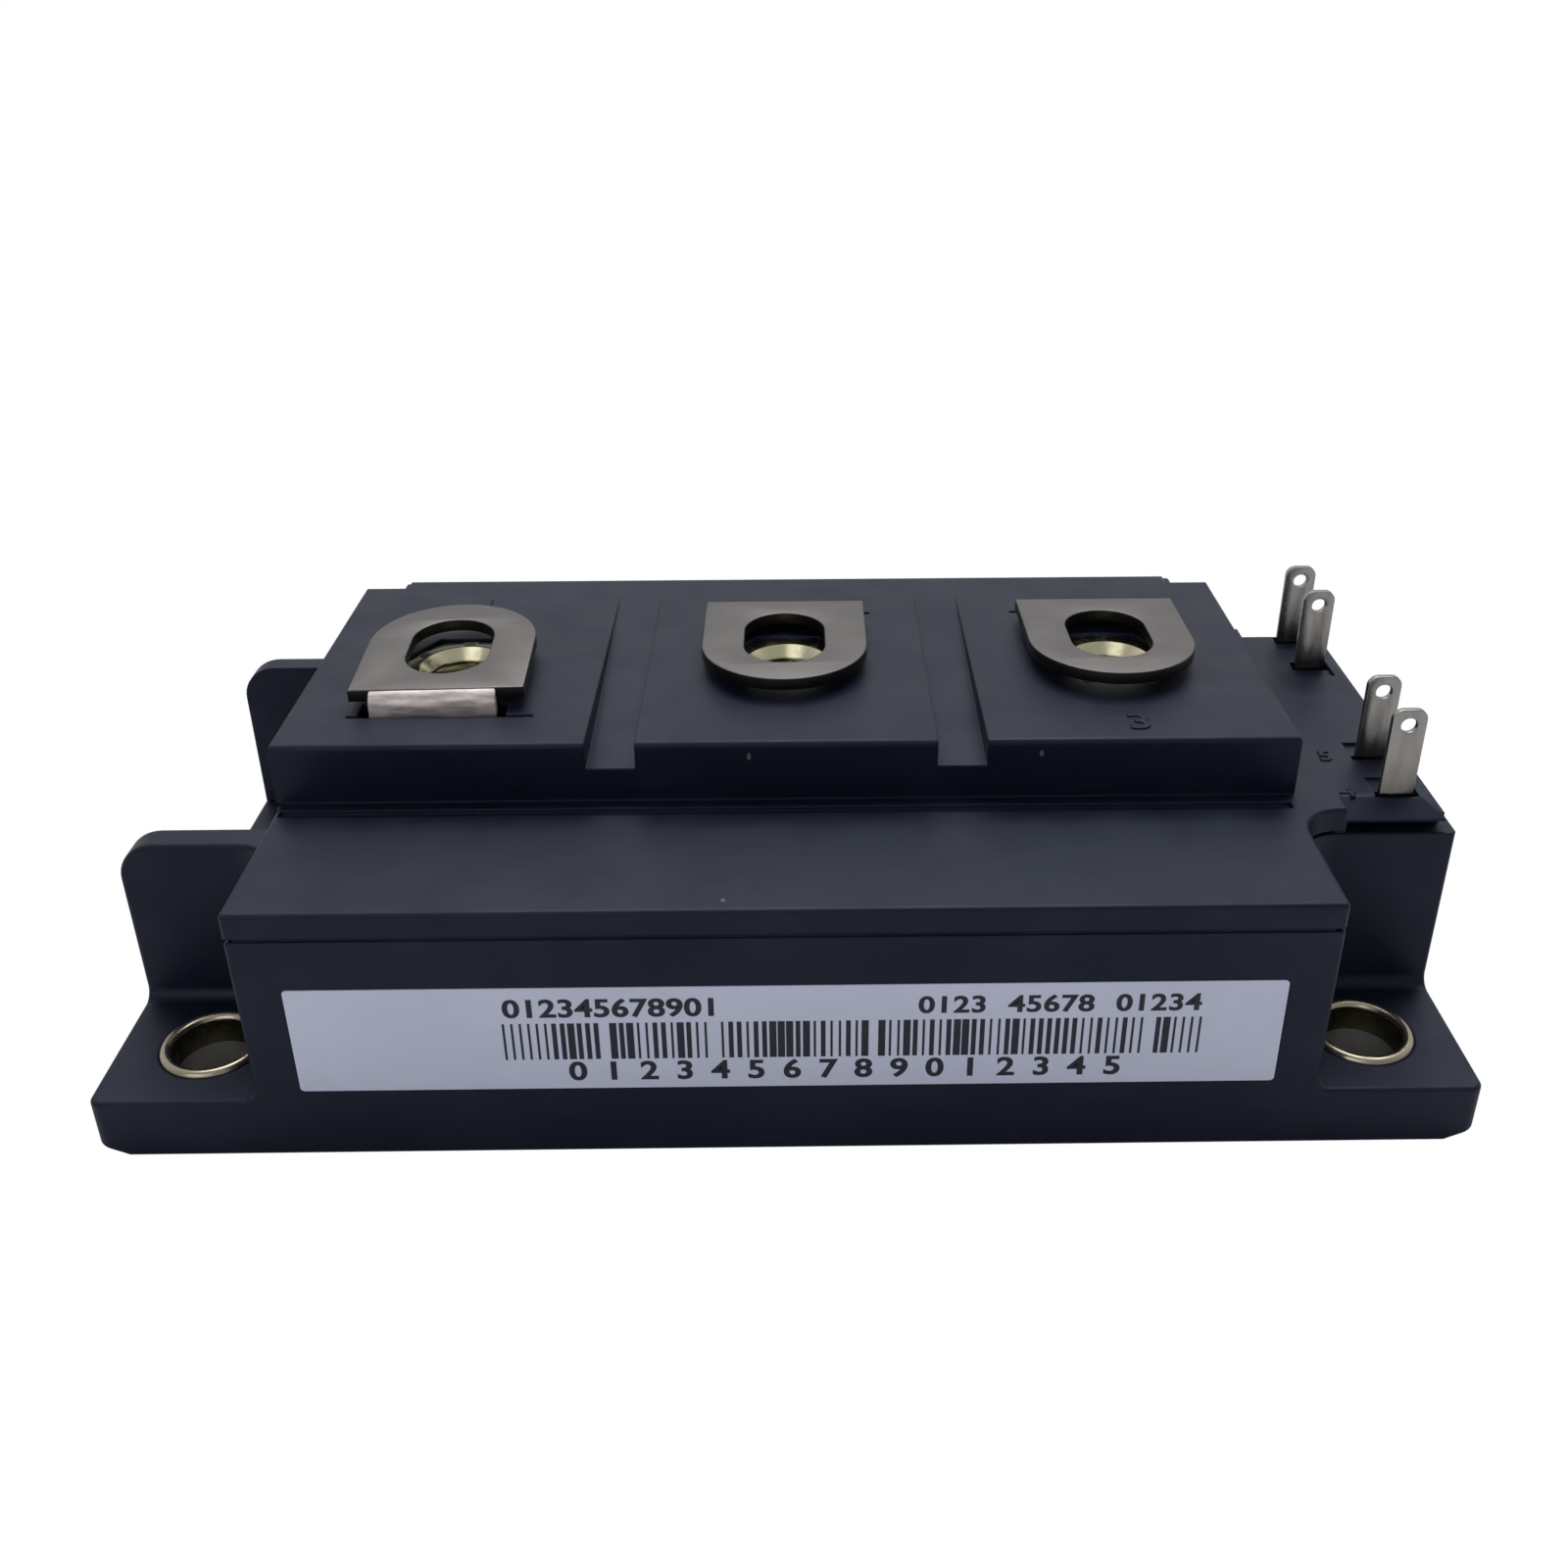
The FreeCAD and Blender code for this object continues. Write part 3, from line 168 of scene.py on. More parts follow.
class Finish:
    """A material under construction, with short calls for the nodes that the finishes share."""
    SEED_STEP = (7.3, 3.1, 5.7)

    def __init__(self, name):
        self.material = bpy.data.materials.new(name)
        self.material.use_nodes = True
        self.tree = self.material.node_tree
        self.tree.nodes.clear()
        self.shader = self.tree.nodes.new("ShaderNodeBsdfPrincipled")
        self.node("ShaderNodeOutputMaterial", {"Surface": self.shader.outputs["BSDF"]})
        self.place = self.node("ShaderNodeTexCoord")["Object"]
        self.axis = self.node("ShaderNodeSeparateXYZ", {"Vector": self.place})

    def node(self, kind, inputs=(), **settings):
        return added(self.tree, kind, inputs, **settings)

    def set(self, **values):
        """Sets inputs of the shader, with underscores for the spaces in their names."""
        for key, value in values.items():
            feed(self.tree, self.shader.inputs[key.replace("_", " ")], value)

    def noise(self, size, detail=3, stretch=(1, 1, 1), seed=0):
        """Noise with features of a size in metres; stretch lengthens them, and a seed moves the pattern."""
        inputs = {"Vector": self.place, "Scale": [1 / (size * longer) for longer in stretch],
                  "Location": [seed * step for step in self.SEED_STEP]}
        place = self.node("ShaderNodeMapping", inputs)["Vector"]
        return self.node("ShaderNodeTexNoise", {"Vector": place, "Scale": 1, "Detail": detail})["Fac"]

    def range(self, value, low, high, to_low=0.0, to_high=1.0):
        """A value between low and high, eased over to a new range and held outside it."""
        inputs = {"Value": value, "From Min": low, "From Max": high, "To Min": to_low, "To Max": to_high}
        return self.node("ShaderNodeMapRange", inputs, interpolation_type="SMOOTHSTEP")["Result"]

    def math(self, kind, first, second=0.0):
        return self.node("ShaderNodeMath", {0: first, 1: second}, operation=kind)["Value"]

    def times(self, first, second):
        return self.math("MULTIPLY", first, second)

    def blend(self, factor, first, second):
        """A mix of two colours; for colours the node has its seventh and eighth input and third output."""
        return self.node("ShaderNodeMix", {0: factor, 6: first, 7: second}, data_type="RGBA")[2]

    def bump(self, height, rise, strength=1.0, normal=None):
        """Bump from a height of 0 to 1 that stands for a rise in metres, on top of a normal."""
        inputs = {"Height": height, "Distance": rise, "Strength": strength}
        if normal is not None:
            inputs["Normal"] = normal
        return self.node("ShaderNodeBump", inputs)["Normal"]

    def soft_edges(self, radius):
        """A normal that rounds sharp edges to a radius in metres."""
        return self.node("ShaderNodeBevel", {"Radius": radius}, samples=6)["Normal"]

    def upright(self, low=0.35, high=0.75):
        """1 on upright faces and 0 on level ones."""
        normal = self.node("ShaderNodeNewGeometry")["Normal"]
        level = self.math("ABSOLUTE", self.node("ShaderNodeSeparateXYZ", {"Vector": normal})["Z"])
        return self.range(level, low, high, 1.0, 0.0)

    def spot(self, centre, radii):
        """A mask that is 1 in the middle of a small ellipsoid and 0 outside it."""
        total = None
        for name, middle, radius in zip("XYZ", centre, radii):
            away = self.times(self.math("SUBTRACT", self.axis[name], middle * MM), 1 / (radius * MM))
            square = self.times(away, away)
            total = square if total is None else self.math("ADD", total, square)
        return self.range(total, 0.35, 1.0, 1.0, 0.0)


# Middle and radii of the small pale spots that are painted glints on the cover's edges, and their shade
PAINTED_GLINTS = (((-3.0, -15.15, 26.45), (0.2, 0.4, 0.4)), ((20.4, -15.15, 26.5), (0.2, 0.4, 0.35)),
         ((-4.6, -29.6, 22.5), (0.2, 0.25, 0.3)))
GLINT_SHADE = (0.22, 0.23, 0.26)


def plastic(name, case, glints=()):
    """Moulded plastic: near black blue, fine grain, faint bloom, rubbed patches and, where given, painted
    glints.
    """
    made = Finish(name)
    haze = made.range(made.noise(9 * MM, detail=4), 0.38, 0.68)
    rubbed = made.range(made.noise(2.4 * MM, detail=5, stretch=(3, 1, 1), seed=2), 0.56, 0.74)
    cloud = made.math("ADD", made.times(haze, 0.30), made.times(rubbed, 0.22))
    base = made.blend(cloud, case.plastic, case.bloom)
    # Painted glints: pale spots mixed into the colour at the given places
    for centre, radii in glints:
        base = made.blend(made.times(made.spot(centre, radii), 0.55), base, GLINT_SHADE)
    polish = made.range(made.noise(5 * MM, detail=4, seed=5), 0.3, 0.7, case.roughness - 0.05,
                        case.roughness + 0.06)
    grain = made.noise(case.grain, detail=2, seed=3)
    waves = made.noise(14 * MM, detail=2, seed=7)
    normal = made.bump(grain, 0.006 * MM, 0.7, made.soft_edges(case.edge))
    normal = made.bump(waves, 0.05 * MM, 0.35, normal)
    made.set(Base_Color=base, Roughness=polish, Specular_IOR_Level=0.41,
             Specular_Tint=case.sheen, Normal=normal)
    return made.material


# Where the painted highlight on a screw terminal's bend starts, and the levels between which it fades towards
# the case
BEND_START = 8.75
HIGHLIGHT_FADE = (27.0, 27.9)
# The level of the screw terminals' sheet edges, above which their upright faces get painted shade
SHADED_EDGE_LOW = 28.3


def plated(name, shade, bright=None, facing=1):
    """Satin plating brushed one way. A bright shade makes it a terminal's, with a painted highlight in
    streaks on the bend, which the attribute fold marks, and painted shade on the upright faces high on the
    sheet."""
    made = Finish(name)
    brushed = made.noise(0.16 * MM, stretch=(22, 1, 1), seed=1)
    cloud = made.range(made.noise(3.2 * MM, detail=4, stretch=(1.6, 1, 1), seed=4), 0.34, 0.7)
    base = made.blend(made.times(cloud, 0.6), shade, scaled(shade, 0.84))
    base = made.blend(made.range(brushed, 0.35, 0.8, 0.0, 0.2), base, scaled(shade, 1.3))
    polish = made.range(brushed, 0.3, 0.7, 0.38, 0.50)
    normal = made.bump(brushed, 0.003 * MM, 0.5)
    metal = 1.0
    if bright is not None:
        # Painted highlight: the strap's bend takes the bright shade in streaks, fading lower down, with less
        # metal in it
        fold = made.node("ShaderNodeAttribute", attribute_name="fold")["Fac"]
        outward = made.times(made.axis["Y"], facing)
        bend_highlight_mask = made.times(made.range(outward, (BEND_START - 0.25) * MM, (BEND_START + 0.15) * MM), fold)
        low, high = HIGHLIGHT_FADE
        bend_highlight_mask = made.times(bend_highlight_mask, made.range(made.axis["Z"], low * MM, high * MM, 0.35, 1.0))
        streak = made.range(made.noise(0.5 * MM, detail=5, stretch=(5, 1, 1), seed=9), 0.3, 0.66, 0.45, 1.0)
        # Painted shade: upright faces high on the sheet are darkened to a sixth of the shade
        edge = made.times(made.upright(), made.range(made.axis["Z"], SHADED_EDGE_LOW * MM, (SHADED_EDGE_LOW + 0.2) * MM))
        base = made.blend(made.times(edge, 0.9), base, scaled(shade, 0.16))
        base = made.blend(made.times(bend_highlight_mask, streak), base, bright)
        metal = made.range(bend_highlight_mask, 0.0, 1.0, 1.0, 0.55)
        normal = made.bump(streak, 0.012 * MM, 0.4, normal)
    made.set(Base_Color=base, Roughness=polish, Metallic=metal, Normal=normal)
    return made.material


def turned(name, shade, flat, bore, painted_shade_below=-1.0):
    """Turned or pressed brass with painted light by facing: slopes keep the bright shade, level faces take
    the painted shade flat, upright faces the painted shade bore; below a given level all takes the bore's
    shade."""
    made = Finish(name)
    dirt = made.range(made.noise(1.4 * MM, detail=4, seed=6), 0.42, 0.72)
    # Painted light by facing: level faces take flat, upright faces and all below the given level take bore
    level = made.range(made.upright(0.8, 0.95), 0.0, 1.0, 1.0, 0.0)
    base = made.blend(made.times(dirt, 0.2), shade, scaled(shade, 0.6))
    base = made.blend(level, base, flat)
    base = made.blend(made.times(made.upright(0.2, 0.35), 0.9), base, bore)
    base = made.blend(made.range(made.axis["Z"], (painted_shade_below - 0.1) * MM, (painted_shade_below + 0.1) * MM, 0.94, 0.0), base, bore)
    made.set(Base_Color=base, Roughness=made.range(dirt, 0.0, 1.0, 0.24, 0.36), Metallic=1.0)
    return made.material


def tinned(name, shade):
    """Dipped tin: bright at the tip, darker and browner towards the moulding, with faint runs."""
    made = Finish(name)
    runs = made.range(made.noise(0.9 * MM, stretch=(1, 1, 4), seed=3), 0.34, 0.7)
    low = made.range(made.axis["Z"], 21.5 * MM, 27.0 * MM, 0.75, 0.0)
    brown = [part * share for part, share in zip(shade, (0.34, 0.31, 0.29))]
    base = made.blend(made.times(runs, 0.22), shade, scaled(shade, 0.6))
    base = made.blend(low, base, brown)
    waves = made.noise(1.1 * MM, detail=2, stretch=(1, 1, 3), seed=5)
    made.set(Base_Color=base, Roughness=made.range(runs, 0, 1, 0.24, 0.32), Metallic=1.0,
             Normal=made.bump(waves, 0.006 * MM, 0.4))
    return made.material


def film(name, shade):
    """Satin paper film, a little uneven and with a faint sheen of handling."""
    made = Finish(name)
    mottle = made.range(made.noise(4 * MM, detail=4, stretch=(2, 1, 1), seed=2), 0.36, 0.68)
    base = made.blend(made.times(mottle, 0.35), shade, scaled(shade, 0.90))
    fibre = made.noise(0.2 * MM, stretch=(3, 1, 1), seed=4)
    made.set(Base_Color=base, Roughness=made.range(mottle, 0, 1, 0.42, 0.52), Specular_IOR_Level=0.4,
             Normal=made.bump(fibre, 0.004 * MM, 0.4))
    return made.material


def plain(name, shade, rough, metal=0.0, size=1.5, spread=0.25):
    """A material with slight unevenness in colour and finish, in patches of a size in millimetres."""
    made = Finish(name)
    cloud = made.range(made.noise(size * MM, detail=4), 0.34, 0.7)
    base = made.blend(made.times(cloud, spread * 2), shade, scaled(shade, 1 - spread))
    made.set(Base_Color=base, Roughness=made.range(cloud, 0, 1, rough * 0.85, min(1, rough * 1.15)),
             Metallic=metal, Normal=made.bump(made.noise(size * 0.12 * MM), 0.004 * MM, 0.5))
    return made.material


def gel(name):
    """Clear soft filling with slow ripples."""
    made = Finish(name)
    ripples = made.noise(6 * MM, detail=2)
    made.set(Base_Color=made.blend(made.range(ripples, 0.3, 0.7), (0.62, 0.64, 0.62), (0.52, 0.55, 0.54)),
             Roughness=made.range(ripples, 0.3, 0.7, 0.10, 0.18), IOR=1.41, Transmission_Weight=0.9,
             Normal=made.bump(ripples, 0.05 * MM, 0.5))
    return made.material


def dress(node, material):
    """Gives a CAD node its finish."""
    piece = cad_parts[node]
    if not piece.material_slots:
        piece.data.materials.append(material)
    for slot in piece.material_slots:
        slot.material = material


# Meshes


def placed(name, data):
    """An object in the scene for a mesh, curve, text, lamp or camera."""
    made = bpy.data.objects.new(name, data)
    bpy.context.scene.collection.objects.link(made)
    return made


def keep(name, mesh, slot, material, *nodes):
    """Puts a finished mesh in the scene as a piece that rides on the module, in place of CAD nodes."""
    piece = placed(name, mesh)
    mesh.materials.clear()
    mesh.materials.append(material)
    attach(piece, BODY)
    if nodes:
        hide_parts(*nodes)


def settled(holder, layers=False):
    """The plain mesh that a holder and its modifiers give; the holder goes."""
    graph = bpy.context.evaluated_depsgraph_get()
    mesh = bpy.data.meshes.new_from_object(holder.evaluated_get(graph), preserve_all_data_layers=layers,
                                           depsgraph=graph)
    holder.modifiers.clear()
    bpy.data.objects.remove(holder)
    return mesh


def merged(node):
    """A CAD node's mesh with its loose triangles joined."""
    bm = bmesh.new()
    bm.from_mesh(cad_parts[node].data)
    bmesh.ops.remove_doubles(bm, verts=bm.verts, dist=JOIN)
    return bm


def smooth_mesh(bm, name, angle=32):
    """A mesh from bmesh, smooth but for edges sharper than an angle."""
    bm.normal_update()
    for face in bm.faces:
        face.smooth = True
    for edge in bm.edges:
        edge.smooth = len(edge.link_faces) == 2 and edge.calc_face_angle(0) < math.radians(angle)
    mesh = bpy.data.meshes.new(name)
    bm.to_mesh(mesh)
    bm.free()
    return mesh


def rounded_copy(node, width):
    """A CAD node's mesh with its sharp edges rounded."""
    bm = merged(node)
    bmesh.ops.dissolve_limit(bm, angle_limit=math.radians(0.5), verts=bm.verts, edges=bm.edges)
    bm.normal_update()
    sharp = [edge for edge in bm.edges if edge.is_manifold and edge.calc_face_angle(0) > math.radians(40)]
    if not sharp:
        raise RuntimeError(f"{node} has no sharp edge to round")
    bmesh.ops.bevel(bm, geom=sharp, offset=width, offset_type="OFFSET", segments=3, profile=0.5,
                    affect="EDGES", clamp_overlap=True)
    bmesh.ops.triangulate(bm, faces=bm.faces)
    bmesh.ops.recalc_face_normals(bm, faces=bm.faces)
    return smooth_mesh(bm, node + "_rounded")


def prism(bm, profile, low, high, place):
    """Adds a closed prism of a profile between two levels; place turns profile and level into a point."""
    rows = [[bm.verts.new(Vector(place(u, v, level)) * MM) for u, v in profile] for level in (low, high)]
    bm.faces.new(rows[0])
    bm.faces.new(rows[1][::-1])
    for number in range(len(profile)):
        after = (number + 1) % len(profile)
        bm.faces.new((rows[0][number], rows[1][number], rows[1][after], rows[0][after]))


def along_x(u, v, level):
    """A profile's point in the y and z plane, at a level along x."""
    return level, u, v


def blocks(sizes):
    """A mesh of blocks; each is given by its two ends along x, y and z, in any order."""
    bm = bmesh.new()
    for size in sizes:
        x, y, z = (sorted(ends) for ends in size)
        prism(bm, [(y[0], z[0]), (y[1], z[0]), (y[1], z[1]), (y[0], z[1])], x[0], x[1], along_x)
    return bm


def tool(bm, name):
    """A holder object for a mesh that another mesh is joined with or cut by."""
    bmesh.ops.recalc_face_normals(bm, faces=bm.faces)
    mesh = bpy.data.meshes.new(name)
    bm.to_mesh(mesh)
    bm.free()
    return placed(name, mesh)


def reshaped(node, steps):
    """A copy of a CAD node's mesh after a row of cuts and additions, smooth where its faces are."""
    holder = tool(merged(node), node + "_holder")
    tools = []
    for number, (kind, bm) in enumerate(steps):
        tools.append(tool(bm, f"{node}_tool_{number}"))
        modifier = holder.modifiers.new(f"step_{number}", "BOOLEAN")
        modifier.operation = kind
        modifier.solver = "MANIFOLD"
        modifier.object = tools[-1]
    mesh = settled(holder)
    bm = bmesh.new()
    bm.from_mesh(mesh)
    bpy.data.meshes.remove(mesh)
    for item in tools:
        bpy.data.objects.remove(item)
    bmesh.ops.remove_doubles(bm, verts=bm.verts, dist=JOIN)
    return weighted(smooth_mesh(bm, node + "_reshaped"))


def weighted(mesh):
    """The mesh with normals that follow its large faces."""
    holder = placed(mesh.name + "_holder", mesh)
    modifier = holder.modifiers.new("weighted", "WEIGHTED_NORMAL")
    modifier.keep_sharp = True
    return settled(holder, layers=True)


def cut_sheet(loops, thick, edge, place):
    """A flat sheet with rounded edges from closed loops of points; it is centred on its plane."""
    data = bpy.data.curves.new("sheet", "CURVE")
    data.dimensions = "2D"
    data.fill_mode = "BOTH"
    for loop in loops:
        spline = data.splines.new("POLY")
        spline.points.add(len(loop) - 1)
        for point, (x, y) in zip(spline.points, loop):
            point.co = (x * MM, y * MM, 0, 1)
        spline.use_cyclic_u = True
    data.extrude = thick * MM / 2 - edge
    data.bevel_depth = edge
    data.bevel_resolution = 2
    mesh = settled(placed("sheet", data))
    mesh.transform(place)
    return mesh


def arc(middle, radius, start, end, steps):
    """Points of an arc, its turns in degrees."""
    turns = [math.radians(start + (end - start) * step / steps) for step in range(steps + 1)]
    return [(middle[0] + radius * math.cos(turn), middle[1] + radius * math.sin(turn)) for turn in turns]


def closed_rings(rings, name):
    """A closed ring-shaped mesh: rows of points of equal count, the last joined to the first."""
    bm = bmesh.new()
    rows = [[bm.verts.new(point) for point in ring] for ring in rings]
    count = len(rows[0])
    for number, row in enumerate(rows):
        after = rows[(number + 1) % len(rows)]
        for index in range(count):
            following = (index + 1) % count
            bm.faces.new((row[index], row[following], after[following], after[index]))
    bmesh.ops.recalc_face_normals(bm, faces=bm.faces)
    return smooth_mesh(bm, name)


def nut_mesh(name, centre, flats, low, high, metal):
    """A hexagonal nut with chamfered corners and a cut thread in its bore."""
    chamfer_start, mouth_slope, flat_share = 0.985, 0.7, 0.12
    depths = [0.0, 0.08, 0.16, 0.25, 0.35, 0.46]
    points, rows_a_turn = 72, 10
    turns = [math.tau * index / points for index in range(points)]
    rings = []

    def ring(height, radius):
        rings.append([(centre.x + far * math.cos(turn), centre.y + far * math.sin(turn), height)
                      for far, turn in zip(map(radius, turns), turns)])

    def side(turn, depth):
        corner = (turn + math.pi / 6) % (math.pi / 3) - math.pi / 6
        across = flats / 2 / math.cos(math.pi / 6 - abs(corner))
        return min(across, flats / 2 * chamfer_start + depth * math.sqrt(3))

    for depth in depths:
        ring(low + depth * MM, lambda turn, d=depth: side(turn, d * MM))
    for depth in reversed(depths):
        ring(high - depth * MM, lambda turn, d=depth: side(turn, d * MM))
    rows = int((high - low) / metal.thread_pitch * rows_a_turn)
    for number in range(rows + 1):
        height = high - (high - low) * number / rows
        mouth = metal.nut_mouth - min(high - height, height - low) * mouth_slope

        def bore(turn, z=height, m=mouth):
            share = (z / metal.thread_pitch - turn / math.tau) % 1
            cut = min(1, max(0, (abs(2 * share - 1) - flat_share) / (1 - 2 * flat_share)))
            return max(m, metal.thread_crest + (metal.thread_root - metal.thread_crest) * cut)

        ring(height, bore)
    return closed_rings(rings, name)


def bush_mesh(name, low, high, inner, outer):
    """A drawn tube whose upper rim is rolled over, and that stands on a flat foot."""
    points, rim_steps = 96, 9
    middle = (low + high) / 2
    rim = (outer - inner) / 2
    profile = [(outer, low.z), (outer, high.z - rim)]
    for step in range(1, rim_steps):
        turn = math.pi * step / rim_steps
        profile.append(((inner + outer) / 2 + rim * math.cos(turn), high.z - rim + rim * math.sin(turn)))
    profile += [(inner, high.z - rim), (inner, low.z)]
    turns = [math.tau * index / points for index in range(points)]
    rings = [[(middle.x + radius * math.cos(turn), middle.y + radius * math.sin(turn), height)
              for turn in turns] for radius, height in profile]
    return closed_rings(rings, name)


# The figures are this much wider than the typeface, and their strokes thicker by this share of the size
FIGURE_WIDTH = 1.12
FIGURE_WEIGHT = 0.022


def written(text, size, spacing, depth):
    """The solid mesh of a text with the origin at its middle."""
    data = bpy.data.curves.new("text", "FONT")
    data.body = text
    data.size = size
    data.align_x = "CENTER"
    data.align_y = "CENTER"
    data.space_character = spacing
    data.offset = size * FIGURE_WEIGHT
    data.extrude = depth / 2
    return settled(placed("text", data))


def figures(name, rows, turn, depth, bold=0.0):
    """Plain figures as one solid mesh; a row is text, place of its middle, size and letter spacing. Bold ones
    are doubled, one a little to each side and the second slightly deeper."""
    whole = bmesh.new()
    wide = Matrix.Diagonal((FIGURE_WIDTH, 1, 1, 1))
    for text, place, size, spacing in rows:
        for side in (-1, 1) if bold else (0,):
            shift = side * bold * size
            deeper = max(0, shift / 8)
            mesh = written(text, size, spacing, depth)
            mesh.transform(Matrix.Translation(place) @ turn @ Matrix.Translation((shift, 0, -deeper)) @ wide)
            whole.from_mesh(mesh)
            bpy.data.meshes.remove(mesh)
    bmesh.ops.remove_doubles(whole, verts=whole.verts, dist=JOIN)
    bmesh.ops.recalc_face_normals(whole, faces=whole.faces)
    return smooth_mesh(whole, name)


# Geometry nodes for the row of bars


def bars_tree():
    """Nodes that set upright bars of random widths in a row, with a place left empty here and there."""
    thinnest, widest, filled = 1, 3, 0.93
    tree = bpy.data.node_groups.new("bar_row", "GeometryNodeTree")
    tree.interface.new_socket("Geometry", in_out="OUTPUT", socket_type="NodeSocketGeometry")
    for name, kind in (("Places", "Int"), ("Start", "Vector"), ("Pitch", "Float"), ("Unit", "Float"),
                       ("Height", "Float"), ("Depth", "Float"), ("Seed", "Int"), ("Material", "Material")):
        tree.interface.new_socket(name, in_out="INPUT", socket_type="NodeSocket" + kind)

    def node(kind, inputs=(), **settings):
        return added(tree, kind, inputs, **settings)

    source = node("NodeGroupInput")
    step = node("ShaderNodeCombineXYZ", {"X": source["Pitch"]})["Vector"]
    line = node("GeometryNodeMeshLine", {"Count": source["Places"], "Start Location": source["Start"],
                                         "Offset": step}, mode="OFFSET")["Mesh"]
    chosen = node("FunctionNodeRandomValue", {"Probability": filled, "Seed": source["Seed"]},
                  data_type="BOOLEAN")[3]
    width = node("FunctionNodeRandomValue", {4: thinnest, 5: widest, "Seed": source["Seed"]},
                 data_type="INT")[2]
    wide = node("ShaderNodeMath", {0: width, 1: source["Unit"]}, operation="MULTIPLY")["Value"]
    scale = node("ShaderNodeCombineXYZ", {"X": wide, "Y": source["Depth"], "Z": source["Height"]})["Vector"]
    copies = node("GeometryNodeInstanceOnPoints", {"Points": line, "Selection": chosen, "Scale": scale,
                                                   "Instance": node("GeometryNodeMeshCube")["Mesh"]})
    real = node("GeometryNodeRealizeInstances", {"Geometry": copies["Instances"]})["Geometry"]
    paint = node("GeometryNodeSetMaterial", {"Geometry": real, "Material": source["Material"]})["Geometry"]
    node("NodeGroupOutput", {"Geometry": paint})
    return tree


def grown(name, tree, values):
    """The plain mesh that a tree of geometry nodes gives for named inputs."""
    holder = placed(name + "_holder", bpy.data.meshes.new(name + "_holder"))
    modifier = holder.modifiers.new("nodes", "NODES")
    modifier.node_group = tree
    for item in tree.interface.items_tree:
        if item.item_type == "SOCKET" and item.in_out == "INPUT":
            modifier[item.identifier] = values[item.name]
    mesh = settled(holder)
    mesh.name = name
    if not mesh.polygons:
        raise RuntimeError(f"{name} came out empty")
    return mesh


# Operators


SHELF_TOP = 22.5
LID_TOP = 22.5
TOWER_FRONT = -15.2
# The grooves: left side, width, depth at the front, where the rising floor meets the tower's top, and end
GROOVE_LEFT = (-16.1, 12.1)
GROOVE_WIDTH = 4.0
GROOVE_DEPTH = 2.25
GROOVE_RISEN = 14.5
GROOVE_END = 16.8
# The flat tabs' middle along x and their distances from the middle plane, and the length of their slots
TAB_X = 49.5
TAB_Y = (9.0, 15.0)
TAB_SLOT = 3.5
# The share of a figure's size that its height takes, and the size of the figures on the lid
FIGURE_SHARE = 0.7
LID_FIGURE = 0.62


